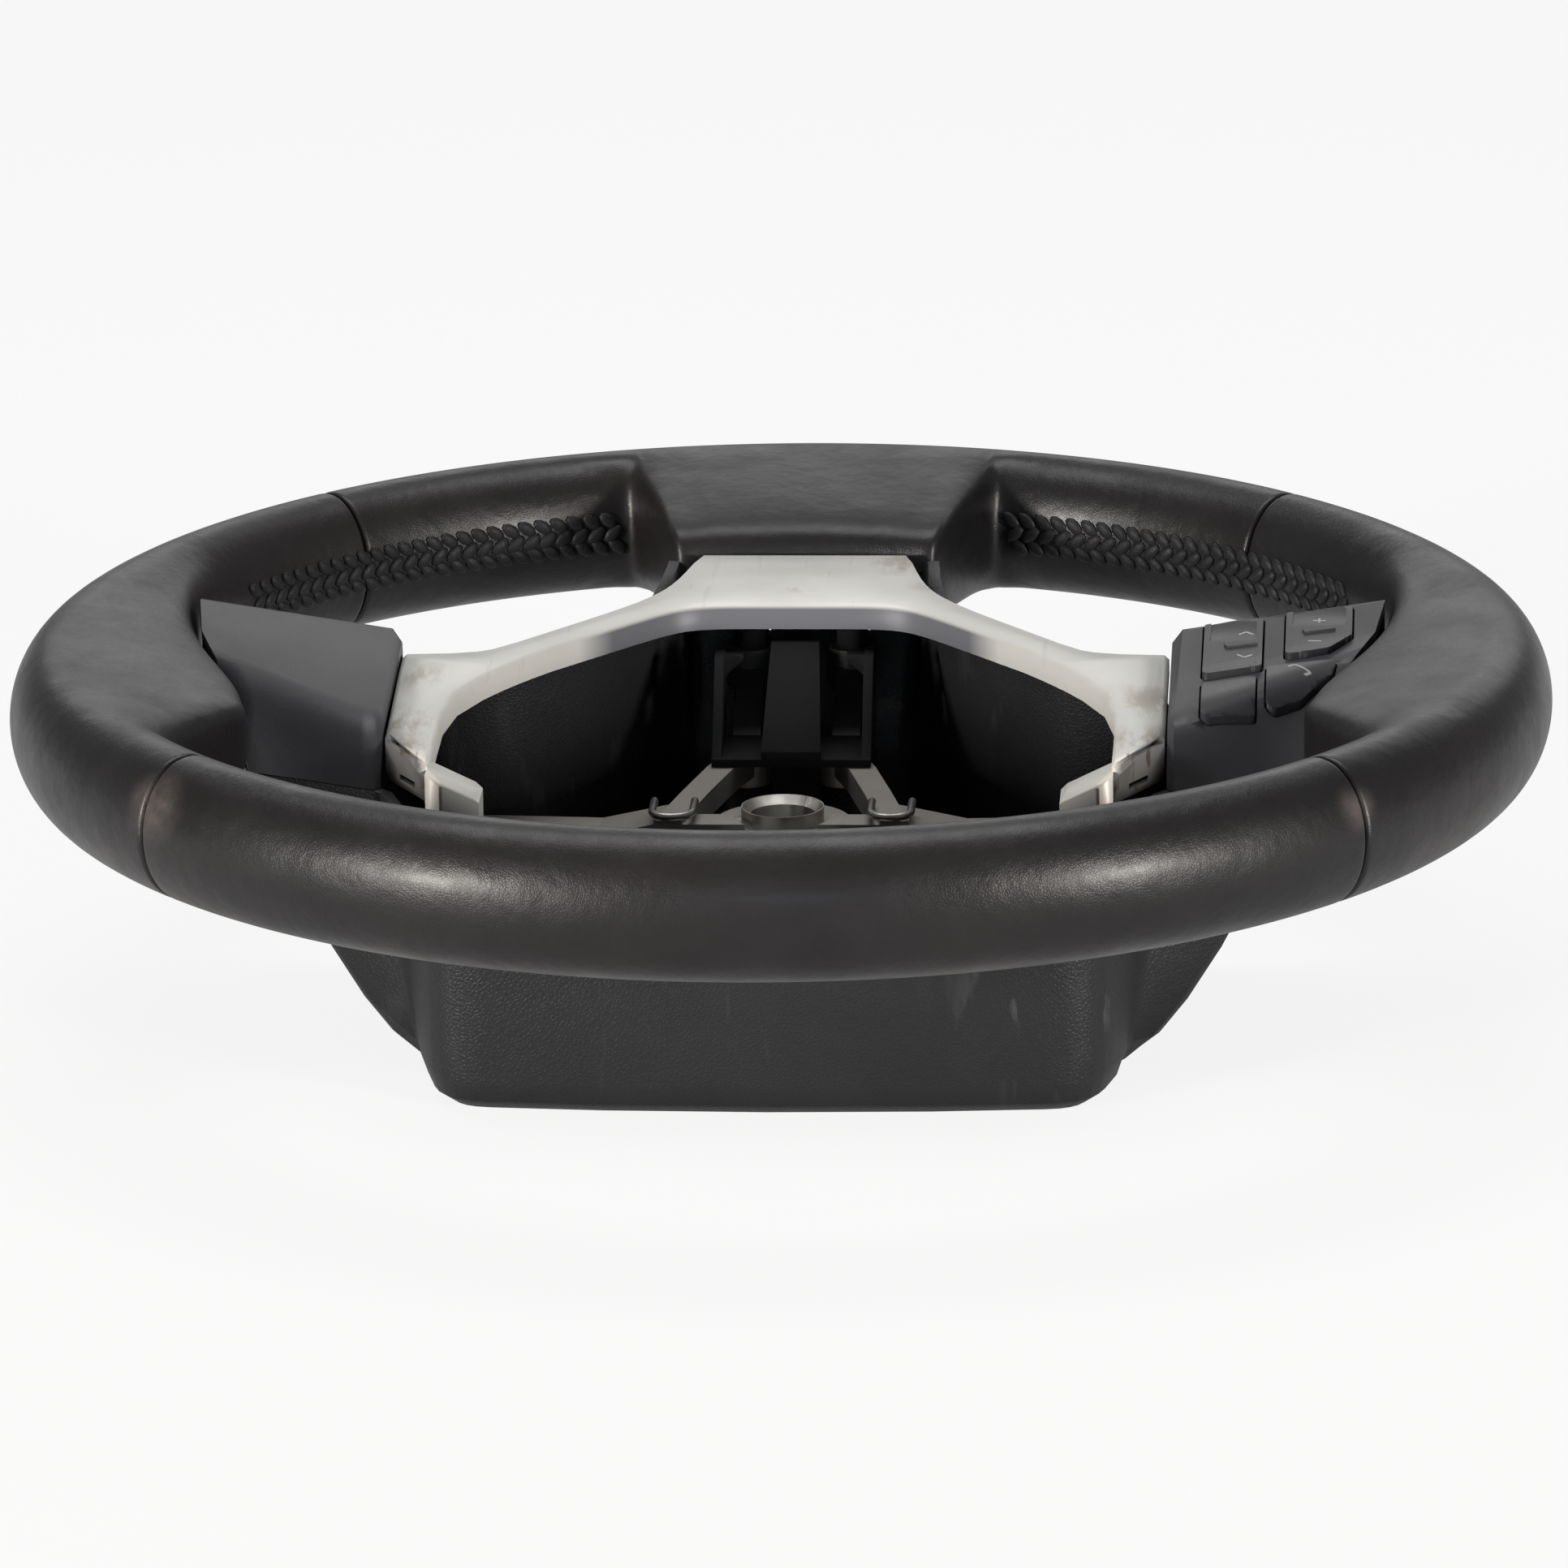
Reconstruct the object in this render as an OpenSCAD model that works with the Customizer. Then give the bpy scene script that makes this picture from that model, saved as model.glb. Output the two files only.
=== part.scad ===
// Three-spoke leather steering wheel with a deep rear cover, shown without its centre pad.
// Millimetres. The driver looks down at +Z, 12 o'clock is +Y, and the driver's right hand is at +X.
// The origin is the centre of the column bore, on the rear face of the hub.

/* [Rim] */
// Outer diameter of the leather rim
rim_d = 380; // [360:1:400]
// Width of the rim's section, measured towards the hub
rim_w = 28; // [24:0.5:32]
// Thickness of the rim's section along the column axis
rim_t = 36; // [31:0.5:38]
// Thickness of the leather
leather_t = 1.4; // [1:0.1:2]
// Width of the metal core inside the rim
core_w = 10; // [8:0.5:12]
// Depth of the metal core inside the rim
core_t = 12; // [9:0.5:14]
// Height of the rim's middle plane above the rear face of the hub
rim_z = 52; // [48:0.5:58]
// Depth of the groove at a leather seam
seam_depth = 1; // [0.4:0.1:1.2]
// Angle from 12 o'clock to each upper leather seam
seam_top_a = 50; // [46:1:54]
// Angle from 6 o'clock to each lower leather seam
seam_low_a = 44; // [41:1:47]

/* [Leather roots] */
// How far a side root reaches from the rim towards the hub
side_reach = 29; // [26:0.5:31]
// How far the bottom root reaches from the rim towards the hub
low_reach = 43; // [40:0.5:46]
// Thickness of the side roots at their tips
root_t = 21; // [19:0.5:23]
// Thickness of the bottom root at its tip
low_root_t = 25; // [23:0.5:26]

/* [Lacing] */
// Width of the plaited lacing on the inside of the rim
lacing_w = 11; // [8:0.5:13]
// Height of the plait's ridges
lacing_h = 0.9; // [0.6:0.1:1.2]
// Length of one cross of the plait along the rim
lacing_pitch = 8; // [6:0.5:10]

/* [Armature] */
// Thickness of the cast arms
arm_t = 6.5; // [5:0.5:7]
// Width of each side arm
arm_w = 16; // [12:0.5:18]
// Width of each of the two lower arms
low_arm_w = 7; // [5:0.5:8]
// Outer diameter of the cast hub boss
boss_d = 34; // [30:0.5:38]
// Height of the cast hub boss
boss_h = 20; // [17:0.5:21]
// Wall thickness left in the channelled arms
arm_web = 3; // [2.4:0.2:3.6]

/* [Hub insert] */
// Diameter of the column bore
bore_d = 16; // [14:0.1:18]
// Outer diameter of the steel insert
insert_d = 24; // [22:0.5:26]
// Diameter of the insert's collar above the boss
collar_d = 20.5; // [20:0.5:23]
// Length of the steel insert along the bore
insert_h = 24; // [22:0.5:27]

/* [Trim] */
// Height of the trim's face above the rim's middle plane at the lower spoke
trim_rise = 5.5; // [4:0.5:7]
// Depth of the trim's wall around the centre opening
lip_depth = 6.5; // [5:0.5:8]
// Wall thickness of the trim
trim_wall = 2.2; // [1.8:0.1:2.6]
// Half width of the centre opening
opening_x = 83; // [80:0.5:85]
// Distance from the bore to the opening's lower edge
opening_low = 65.5; // [62:0.5:68]
// Half width of the trim where it meets the bottom root
bridge_x = 27; // [25:0.5:29]
// Gap between the trim and its neighbours
trim_gap = 0.5; // [0.3:0.1:0.8]
// Width of each post beside the opening
post_w = 13; // [11:0.5:14]
// Depth of each post along the wheel's Y axis
post_d = 13; // [11:0.5:14]

/* [Spoke covers] */
// Distance from the bore to the hub end of each spoke cover
spoke_x = 96; // [94:0.5:98]
// Height of the covers' far edge above the rim's middle plane
spoke_rise = 10; // [9:0.5:11]
// Slope of the covers' face towards 12 o'clock, in millimetres for each millimetre
face_slope = 0.105; // [0.08:0.005:0.12]
// Wall thickness of the spoke covers
spoke_wall = 2.4; // [2:0.1:2.8]
// Gap between a spoke cover and the leather root
root_gap = 0.8; // [0.6:0.1:1.2]

/* [Switches] */
// Gap around each key
key_gap = 0.5; // [0.4:0.05:0.7]
// How far the near edge of a key stands above the face
key_proud = 2.6; // [2:0.1:3]
// Travel of the two push keys
key_travel = 1.2; // [0.8:0.1:1.4]
// Swing of the two rocker keys to each side, in degrees
rocker_swing = 3; // [2:0.5:3.5]
// Diameter of the rockers' pivot pins
pivot_d = 2; // [1.6:0.1:2.4]
// Thickness of the circuit board
board_t = 1.6; // [1.2:0.1:2]
// Thickness of the rubber mat
mat_t = 1; // [0.8:0.1:1.4]

/* [Rear cover] */
// Depth of the cover's flat back below the rear face of the hub
cover_drop = 29; // [26:0.5:32]
// Wall thickness of the rear cover
cover_wall = 2.8; // [2.2:0.1:3.2]
// Half width of the cover's flat back
back_x = 82; // [78:0.5:84]
// Distance from the bore to the cover's wall on the 12 o'clock side
front_y = 87; // [84:0.5:90]
// Radius of the round opening for the column
column_r = 34; // [30:0.5:38]
// Height of the raised collar around the column opening, inside the cover
column_lip = 6; // [4:0.5:8]

/* [Fixings] */
// Thread diameter of the cover and trim screws
screw_d = 5; // [4:0.5:5]
// Thread diameter of the switch screws
small_screw_d = 2.5; // [2:0.1:3]

/* [Hidden] */
$fn = 64;

// The rim's section and its sweep around the bore
ring_r = (rim_d - rim_w) / 2;
fit = 0.1;
section_n = 16;
step_a = 6;
seam_step = 0.5;
side_fall = [38, 17];
side_start = -28;
side_peak = 13;
low_flat = 13.5;
low_fall = 4;
root_knee = 12;
root_square = 2.2;
root_drop = 2;

function ease(t) = let (c = max(0, min(1, t))) c * c * (3 - 2 * c);
function turn(a) = a - 360 * floor((a + 180) / 360);
function mix(a, b, t) = a + (b - a) * t;

// Inward reach of the leather roots at an angle around the rim
function side_root(d) = side_reach * ease((d - side_start) / side_fall[0])
    * (1 - ease((d - side_peak) / side_fall[1]));
function low_root(d) = low_reach * (1 - ease((abs(d) - low_flat) / low_fall));
function reach(a) = max(side_root(turn(a)), side_root(turn(180 - a)), low_root(turn(a - 270)));

// One point of the rim's section: half an ellipse outside, stretched into the root inside
function skin_point(a, off, j) =
    let (f = 360 * j / section_n, c = cos(f), s = sin(f),
        ax = rim_w / 2 - off, bz = rim_t / 2 - off, e = reach(a), w = e / (e + root_knee),
        m = 1 / (1 + root_square * w), u = pow(abs(c), m),
        tip_t = low_root(turn(a - 270)) > 0 ? low_root_t : root_t,
        tip = mix(bz, tip_t / 2 - off, w * ease(u)),
        rad = c >= 0 ? ax * c : -(ax + e) * u,
        h = c >= 0 ? bz * s : tip * sign(s) * pow(abs(s), m) - root_drop * w * ease(u))
    [(ring_r + rad) * cos(a), (ring_r + rad) * sin(a), rim_z + h];
function skin_loop(a, off) = [for (j = [0:section_n - 1]) skin_point(a, off, j)];

// Faces of a closed grid of loops, each of n points; flip turns the faces over
function quad(a, b, c, d, flip) = flip ? [[a, c, b], [a, d, c]] : [[a, b, c], [a, c, d]];
function wall_faces(loops, n, start, flip) = [for (i = [0:loops - 2], j = [0:n - 1])
    each quad(start + i * n + j, start + i * n + (j + 1) % n,
        start + (i + 1) * n + (j + 1) % n, start + (i + 1) * n + j, flip)];
function end_faces(a, b, n, flip) = [for (j = [0:n - 1])
    each quad(a + j, a + (j + 1) % n, b + (j + 1) % n, b + j, flip)];
function fan_faces(c, start, n, flip) = [for (j = [0:n - 1])
    flip ? [c, start + (j + 1) % n, start + j] : [c, start + j, start + (j + 1) % n]];

// A hollow sleeve from an outer and an inner list of loops
module sleeve(outer, inner) {
    k = len(outer);
    n = len(outer[0]);
    pts = [for (l = outer) each l, for (l = inner) each l];
    polyhedron(pts, concat(wall_faces(k, n, 0, false), wall_faces(k, n, k * n, true),
        end_faces(0, k * n, n, true), end_faces((k - 1) * n, (2 * k - 1) * n, n, false)));
}

function between(a0, a1) = let (n = ceil((a1 - a0) / step_a)) [for (i = [1:n - 1]) mix(a0, a1, i / n)];
function stations(a0, a1) = concat([a0, a0 + seam_step], between(a0 + seam_step, a1 - seam_step),
    [a1 - seam_step, a1]);

// The same, with close stations on both flanks of the bottom root
flank_n = 4;
function low_stations(a0, a1) = let (e = low_flat + low_fall,
    flank = [for (i = [0:flank_n]) mix(low_flat, e, i / flank_n)])
    concat([a0, a0 + seam_step], between(a0 + seam_step, 270 - e), [for (i = [flank_n:-1:0]) 270 - flank[i]],
        between(270 - low_flat, 270 + low_flat), [for (d = flank) 270 + d],
        between(270 + e, a1 - seam_step), [a1 - seam_step, a1]);

// One sleeve of leather; its ends tuck down into the seams
module leather(st) {
    last = len(st) - 1;
    outer = [for (i = [0:last]) skin_loop(st[i], i == 0 || i == last ? seam_depth : 0)];
    inner = [for (a = st) skin_loop(a, leather_t)];
    sleeve(outer, inner);
}

// Angles of the seams, counted from +X
seam_half = 0.08;
top_a = 90 - seam_top_a;
low_a = seam_low_a - 90;

// Height and direction of the arms inside the spokes
arm_z = 16;
arm_dip = 5;
root_under = 10;
arm_rise = [[24, 0], [46, -arm_dip], [100, -arm_dip], [140, rim_z - arm_z - root_under],
    [ring_r, rim_z - arm_z - arm_t / 2]];
arm_dir = -4;
function side_path(rise, t) = [for (p = rise) [p[0], arm_z + p[1] + t]];
function band(rise, low, high) = concat(side_path(rise, low), flipped(side_path(rise, high)));
function flipped(v) = [for (i = [len(v) - 1:-1:0]) v[i]];

module leather_slot() {
    for (m = [0, 1]) mirror([m, 0, 0]) rotate([0, 0, arm_dir])
        arm_profile(arm_w + 2 * arm_fit, -arm_fit, arm_t + arm_fit);
    low_arms(arm_fit);
}

arm_fit = 0.6;

module arm_profile(w, low, high) {
    translate([0, w / 2, 0]) rotate([90, 0, 0]) linear_extrude(w) polygon(band(arm_rise, low, high));
}

// The two lower arms: a wishbone in plan, cranked up to the rim in side view
fork = [[28, 8], [22.5, -18], [17.5, -40], [12.5, -56], [13, -ring_r]];
low_rise = [[-14, 0], [60, 0], [116, rim_z - arm_z - root_under], [ring_r, rim_z - arm_z - arm_t / 2]];
module low_arms(grow) {
    w = low_arm_w / 2 + grow;
    intersection() {
        for (m = [0, 1]) mirror([m, 0, 0]) linear_extrude(rim_z + rim_t)
            polygon(concat([for (p = fork) p - [w, 0]], flipped([for (p = fork) p + [w, 0]])));
        translate([ring_r, 0, 0]) rotate([90, 0, -90]) linear_extrude(2 * ring_r)
            polygon(band(low_rise, -grow, arm_t + grow));
    }
}

// Metal: one light casting with its hub, side arms, wishbone and rim core
module armature() color([0.56, 0.53, 0.5]) {
    difference() {
        union() {
            cylinder(d = boss_d, h = boss_h);
            translate([0, 0, rim_z]) rotate_extrude($fn = 96) translate([ring_r, 0]) core_section();
            for (m = [0, 1]) mirror([m, 0, 0]) rotate([0, 0, arm_dir]) side_arm();
            low_arms(0);
            cross_bar();
            cover_pads();
        }
        translate([0, 0, -1]) cylinder(d = insert_d, h = rim_z);
        cover_pad_bores();
    }
}

module core_section() {
    r = core_w / 4;
    offset(r = r, $fn = 24) square([core_w - 2 * r, core_t - 2 * r], center = true);
}

channel = [34, 120];
module side_arm() {
    difference() {
        arm_profile(arm_w, 0, arm_t);
        // Channel open towards the rear
        intersection() {
            arm_profile(arm_w - 2 * arm_web, -1, arm_t - arm_web);
            translate([channel[0], -arm_w, 0]) cube([channel[1] - channel[0], 2 * arm_w, rim_z]);
        }
    }
}

// Bar through the boss that joins the arms at the hub
bar_w = 9;
bar_drop = 6;
bar_step = 1;
module cross_bar() {
    x = fork[0][0] + low_arm_w / 2;
    translate([-x, fork[0][1] - bar_w, arm_z - bar_drop]) cube([2 * x, bar_w, bar_drop + arm_t - bar_step]);
}

// Pads under the side arms and the wishbone that take the cover's screws
pad_d = 12;
pad_drop = 3;
pad_at = [[60, 60 * sin(arm_dir), arm_z - arm_dip - pad_drop], [12.4, -58, arm_z - pad_drop]];
trim_boss_at = [13, -92];
arm_slope_z = arm_z + mix(low_rise[1][1], low_rise[2][1],
    (-trim_boss_at[1] - low_rise[1][0]) / (low_rise[2][0] - low_rise[1][0]));
trim_pad = 2;
module cover_pads() {
    for (m = [0, 1], p = pad_at) mirror([m, 0, 0]) translate(p) cylinder(d = pad_d, h = pad_drop + arm_t / 2);
    for (m = [0, 1]) mirror([m, 0, 0]) translate([trim_boss_at[0], trim_boss_at[1], arm_slope_z - trim_pad])
        cylinder(d = pad_d, h = arm_t + 2 * trim_pad);
}
module cover_pad_bores() {
    for (m = [0, 1], p = concat(pad_at, [trim_boss_at])) mirror([m, 0, 0]) translate([p[0], p[1], 0])
        cylinder(d = screw_d, h = rim_z);
}

// Steel bush cast into the hub, with its collar standing above the boss
module hub_insert() color([0.62, 0.6, 0.58]) {
    difference() {
        union() {
            cylinder(d = insert_d, h = boss_h);
            cylinder(d = collar_d, h = insert_h);
        }
        translate([0, 0, -1]) cylinder(d = bore_d, h = insert_h + 2);
        translate([0, 0, insert_h - 2]) cylinder(d1 = bore_d, d2 = bore_d + 4.1, h = 2.05);
    }
}

// Foam moulded round the core, under the leather
foam_gap = 0.45;
module rim_foam() color([0.2, 0.2, 0.21]) {
    seams = [low_a, top_a, 180 - top_a, 180 - low_a, 360 + low_a];
    angles = concat([for (i = [0:2]) each stations(seams[i] + seam_half, seams[i + 1] - seam_half)],
        low_stations(seams[3] + seam_half, seams[4] - seam_half));
    loops = [for (a = angles) skin_loop(a, leather_t + foam_gap)];
    n = section_n;
    difference() {
        polyhedron([for (l = loops) each l],
            concat(wall_faces(len(loops), n, 0, false),
                end_faces((len(loops) - 1) * n, 0, n, false)));
        translate([0, 0, rim_z]) rotate_extrude($fn = 96) translate([ring_r, 0]) core_section();
        leather_slot();
    }
}

module leather_top() color([0.13, 0.13, 0.135]) leather(stations(top_a + seam_half, 180 - top_a - seam_half));
module leather_right() color([0.13, 0.13, 0.135])
    difference() {
        leather(stations(low_a + seam_half, top_a - seam_half));
        leather_slot();
    }
module leather_left() color([0.13, 0.13, 0.135]) mirror([1, 0, 0])
    difference() {
        leather(stations(low_a + seam_half, top_a - seam_half));
        leather_slot();
    }
module leather_bottom() color([0.13, 0.13, 0.135])
    difference() {
        leather(low_stations(180 - low_a + seam_half, 360 + low_a - seam_half));
        leather_slot();
    }

// Plaited cord: a band of raised crosses on the inside of the rim, between the roots
lacing_n = 4;
lacing_gap = 0.3;
lacing_from = 33;
lacing_low = [-71, -31];
module plait(a0, a1) {
    inner_r = ring_r - rim_w / 2 - lacing_gap;
    n = ceil((a1 - a0) * PI / 180 * inner_r / (lacing_pitch / 2));
    function spot(i, j, lift) = let (a = mix(a0, a1, i / n), z = (j / (lacing_n - 1) - 0.5) * lacing_w,
        r = inner_r + rim_w / 2 * (1 - sqrt(1 - pow(2 * z / rim_t, 2))) - lift)
        [r * cos(a), r * sin(a), rim_z + z];
    strip([for (i = [0:n]) [for (j = [0:lacing_n - 1]) spot(i, j, (i + j) % 2 == 0 ? lacing_h : 0.35 * lacing_h)]],
        [for (i = [0:n]) [for (j = [0:lacing_n - 1]) spot(i, j, 0)]], true);
}
module lacing() color([0.1, 0.1, 0.105]) {
    plait(lacing_from, 180 - lacing_from);
    plait(lacing_low[0], lacing_low[1]);
    plait(180 - lacing_low[1], 180 - lacing_low[0]);
}

// A sheet with thickness: rows of points on its face and rows of as many on its back
module strip(face, back, flip) {
    n = len(face);
    m = len(face[0]);
    k = 2 * m;
    loops = [for (i = [0:n - 1]) concat(face[i], [for (j = [m - 1:-1:0]) back[i][j]])];
    cap = [for (j = [0:m - 2]) each quad(j, j + 1, k - 2 - j, k - 1 - j, !flip)];
    polyhedron([for (l = loops) each l], concat(wall_faces(n, k, 0, flip), cap,
        [for (f = cap) [(n - 1) * k + f[0], (n - 1) * k + f[2], (n - 1) * k + f[1]]]));
}

// Trim: a painted channel round the lower half of the centre opening, on polar curves from the bore
trim_skirt = 5;
arm_face_drop = 7;
trim_soft = 20;
diagonal = [62.3, 38.5];
arm_low_y = 20;
bridge_lean = 9;
flare = 10;
bridge_y = ring_r - rim_w / 2 - low_reach - root_gap - 5;
ring_band = 10.5;
// Rounded corner of a shape with straight sides: distance and direction of each side
function soft_sides(a, sides, p) = pow(1 / vsum([for (s = sides)
    pow(max(0, cos(a - s[1])) / s[0], p)]), 1 / p);
function vsum(v) = v * [for (i = v) 1];
function open_r(a) = soft_sides(a, [[opening_x, 0], [opening_x, 180], [diagonal[0], -diagonal[1]],
    [diagonal[0], 180 + diagonal[1]], [opening_low, -90]], trim_soft);
bridge_side = bridge_x * cos(bridge_lean) + bridge_y * sin(bridge_lean);
function trim_out(a) = let (c = abs(cos(a)) + 0.001, s = max(0.001, -sin(a)),
    arm = min((spoke_x - trim_gap) / c, arm_low_y / s),
    bridge = min(bridge_y / s, bridge_side / (c * cos(bridge_lean) + s * sin(bridge_lean))),
    all = vsum([for (r = [open_r(a) + ring_band, arm, bridge]) pow(r, flare)]))
    min(pow(all, 1 / flare), (spoke_x - trim_gap) / c, bridge_y / s);
function trim_z(y) = rim_z + trim_rise - arm_face_drop * ease((y + 30) / 75);
arm_skew = 7.2;
trim_end_a = 25;
trim_angles = let (half = concat([for (a = [trim_end_a:-6:-5]) a], [for (a = [-8:-2:-18]) a],
    [for (a = [-24:-7:-59]) a], [for (a = [-63:-2:-79]) a], [-84]))
    concat(half, [-90], [for (a = flipped(half)) -180 - a]);
function skewed(a, side) = let (b = a < -90 ? -180 - a : a, k = arm_skew * ease((b + 10) / 35) * side)
    a < -90 ? a - k : a + k;
function at_polar(r, a, z) = [r * cos(a), r * sin(a), z];
function trim_row(a, w) = let (ai = skewed(a, 1), ao = skewed(a, -1), ri = open_r(ai), ro = trim_out(ao),
    zi = trim_z(ri * sin(ai)), zo = trim_z(ro * sin(ao)), b = w > 0 ? 0.6 : 1.2)
    [at_polar(ri + w, ai, zi - lip_depth), at_polar(ri + w, ai, zi - w - b),
        at_polar(ri + w + b, ai, zi - w), at_polar(ro - w - b, ao, zo - w),
        at_polar(ro - w, ao, zo - w - b), at_polar(ro - w, ao, zo - trim_skirt)];
// Posts at the trim's ends, and the tab that closes each arm
post_top = -3.5;
post_slant = 5.5;
post_len = 32.5;
post_nose = 1.6;
post_y = 44;
post_x = opening_x + 0.5 - post_w / 2;
post_z = rim_z + post_top - post_len;
tab_depth = 10.5;
tab_cover = 1.3;
tab_wall = [2.9, 3.5];
tab_slot = [4.4, 1.6];
module trim() color([0.79, 0.79, 0.775]) {
    strip([for (a = trim_angles) trim_row(a, 0)], [for (a = trim_angles) trim_row(a, trim_wall)], false);
    for (m = [0, 1]) mirror([m, 0, 0]) {
        trim_tab();
        trim_post();
        trim_boss();
    }
}
module trim_tab() {
    ai = trim_end_a + arm_skew;
    ao = trim_end_a - arm_skew;
    p = at_polar(open_r(ai) + 0.05, ai, 0);
    q = at_polar(trim_out(ao) - 0.05, ao, 0);
    z = trim_z(p[1]) - tab_depth;
    difference() {
        translate([0, 0, z]) linear_extrude(tab_depth - tab_cover)
            polygon([[p[0], p[1]], [q[0], q[1]], [q[0], q[1] - tab_wall[0]], [p[0], p[1] - tab_wall[1]]]);
        // Narrow slot near the tab's lower edge
        translate([(p[0] + q[0] - tab_slot[0]) / 2, 0, z + tab_slot[1]])
            cube([tab_slot[0], 2 * opening_x, tab_slot[1]]);
    }
}
module trim_post() {
    x = post_x - post_w / 2;
    z = post_z;
    difference() {
        translate([x, post_y + post_d, z]) rotate([90, 0, 0]) linear_extrude(post_d)
            polygon([[0, 0], [post_w, 0], [post_w, post_len], [post_nose, post_len - post_slant],
                [0, post_len - post_slant - post_nose]]);
        difference() {
            translate([x + trim_wall, post_y + trim_wall, z - 1])
                cube([post_w - 2 * trim_wall, post_d - 2 * trim_wall, post_len - post_slant - trim_wall - post_nose]);
            translate([post_x, post_y + post_d / 2, z - 2]) cylinder(d = trim_boss_d - 1, h = post_len);
        }
        translate([post_x, post_y + post_d / 2, z - 1]) cylinder(d = screw_d - 0.8, h = 13);
        // Groove down the post's near face
        translate([x + post_w - trim_wall - 2, post_y + post_d - 0.8, z - 1]) cube([0.9, 2, post_len - 2]);
    }
}
trim_boss_d = 8;
module trim_boss() {
    z = arm_slope_z + arm_t + trim_pad;
    translate([trim_boss_at[0], trim_boss_at[1], z]) difference() {
        cylinder(d = trim_boss_d, h = trim_z(trim_boss_at[1]) - z - trim_wall / 2);
        translate([0, 0, -1]) cylinder(d = screw_d - 0.8, h = 11);
    }
}

// Spoke covers: a curved shell whose outer end follows the tip of the leather root
far_y = [-30, -51];
low_y = [42, 26];
near_fall = [36, 16.1, 26.4];
cover_split = -12;
end_bevel = 2.2;
function face_z(y) = rim_z + spoke_rise + 0.5 - face_slope * (y + 40);
function tip_near(y, x) = let (r = ring_r - rim_w / 2 - side_root(atan2(y, x)) - root_gap) sqrt(r * r - y * y);
function tip_x(y) = tip_near(y, tip_near(y, tip_near(y, 140)));
function curve(a, b, c, r, k) = let (u = (a - b) / norm(a - b), v = (c - b) / norm(c - b))
    [for (i = [0:k]) let (t = i / k) pow(1 - t, 2) * (b + r * u) + 2 * t * (1 - t) * b + t * t * (b + r * v)];
function panel_path(s, off) = let (y0 = mix(far_y[0], far_y[1], s) + off,
    y1 = near_fall[0] - near_fall[1] * s - near_fall[2] * s * s - off, y2 = mix(low_y[0], low_y[1], s) - off,
    zb = rim_z + cover_split + fit, p = [y0 - 1.5, zb], q = [y0, face_z(y0) - off],
    r = [y1, face_z(y1) - off], e = [y2, zb])
    concat([p], curve(p, q, r, 3, 3), [(q + r) / 2 - [0, 0.5]], curve(q, r, e, 11, 5), [e]);
function panel_row(s, off, bevel) = [for (p = panel_path(s, off + bevel)) let (x = tip_x(p[0]))
    [mix(spoke_x, x, s), p[0], p[1]]];
panel_s = [0, 0.05, 0.16, 0.28, 0.4, 0.52, 0.64, 0.76, 0.88, 1];
module spoke_panel() {
    strip([for (i = [0:len(panel_s) - 1]) panel_row(panel_s[i], 0, i == 0 ? end_bevel : 0)],
        [for (i = [0:len(panel_s) - 1]) panel_row(panel_s[i], spoke_wall, i == 0 ? end_bevel : 0)], false);
}
module right_spoke_cover() color([0.16, 0.16, 0.17]) spoke_panel();

// Key outlines in plan, on the driver's left spoke
seek_plan = [[104, -30.5], [118.5, -36], [118.5, -1.8], [104, 4.2]];
volume_plan = [[124.2, -38.5], [140.6, -44.5], [140.6, -24], [135, -13.5], [124.2, -9]];
mode_plan = [[104, 7.5], [117.2, 1.5], [117.2, 20.5], [104, 28.5]];
phone_plan = [[119.8, -3.5], [137, -8.5], [136, -2], [128, 10.5], [119.8, 18]];
key_round = 1.5;
module plan(points, grow) {
    offset(r = key_round + grow, $fn = 24) offset(delta = -key_round) polygon(points);
}
module on_left() {
    mirror([1, 0, 0]) children();
}
switch_at = [99.8, -22, 14];
switch_boss_d = 4.4;
switch_base = -10;
base_t = 1.5;
board_z = rim_z + switch_base + base_t;
dome_h = 0.7;
dome_z = board_z + board_t + mat_t + dome_h;
module switch_bezel() color([0.17, 0.17, 0.18]) on_left() {
    difference() {
        spoke_panel();
        for (p = [seek_plan, volume_plan, mode_plan, phone_plan])
            translate([0, 0, rim_z + cover_split + 2]) linear_extrude(rim_z) plan(p, key_gap);
    }
    for (y = [switch_at[1], switch_at[2]]) difference() {
        z = rim_z + switch_base + base_t;
        translate([switch_at[0], y, z]) cylinder(d = switch_boss_d, h = face_z(y) - spoke_wall / 2 - 0.3 - z);
        translate([switch_at[0], y, z - 1]) cylinder(d = small_screw_d - 0.4, h = 9);
    }
}

// A key: its outline under a tilted top, hollow side down on its plungers
key_far = 0.6;
key_skirt = 5.2;
plunger_d = 3;
press_gap = 0.15;
function key_line(y_far, y_near, y) = mix(face_z(y_far) + key_far, face_z(y_near) + key_proud,
    (y - y_far) / (y_near - y_far));
module key_top(points, y_far, y_near) {
    span = [y_far - 9, y_near + 9];
    base = face_z(y_near) - key_skirt;
    intersection() {
        translate([0, 0, base]) linear_extrude(rim_z) plan(points, 0);
        translate([spoke_x, 0, 0]) rotate([90, 0, 90]) linear_extrude(ring_r - spoke_x)
            polygon([[span[0], 0], [span[1], 0], [span[1], key_line(y_far, y_near, span[1])],
                [span[0], key_line(y_far, y_near, span[0])]]);
    }
}
module plunger(at, z_top, lift) {
    z = dome_z + lift + press_gap;
    translate([at[0], at[1], z]) cylinder(d = plunger_d, h = z_top - z);
}
function vsum_points(p) = [vsum([for (q = p) q[0]]), vsum([for (q = p) q[1]])];
function mid(points) = vsum_points(points) / len(points);

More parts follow.
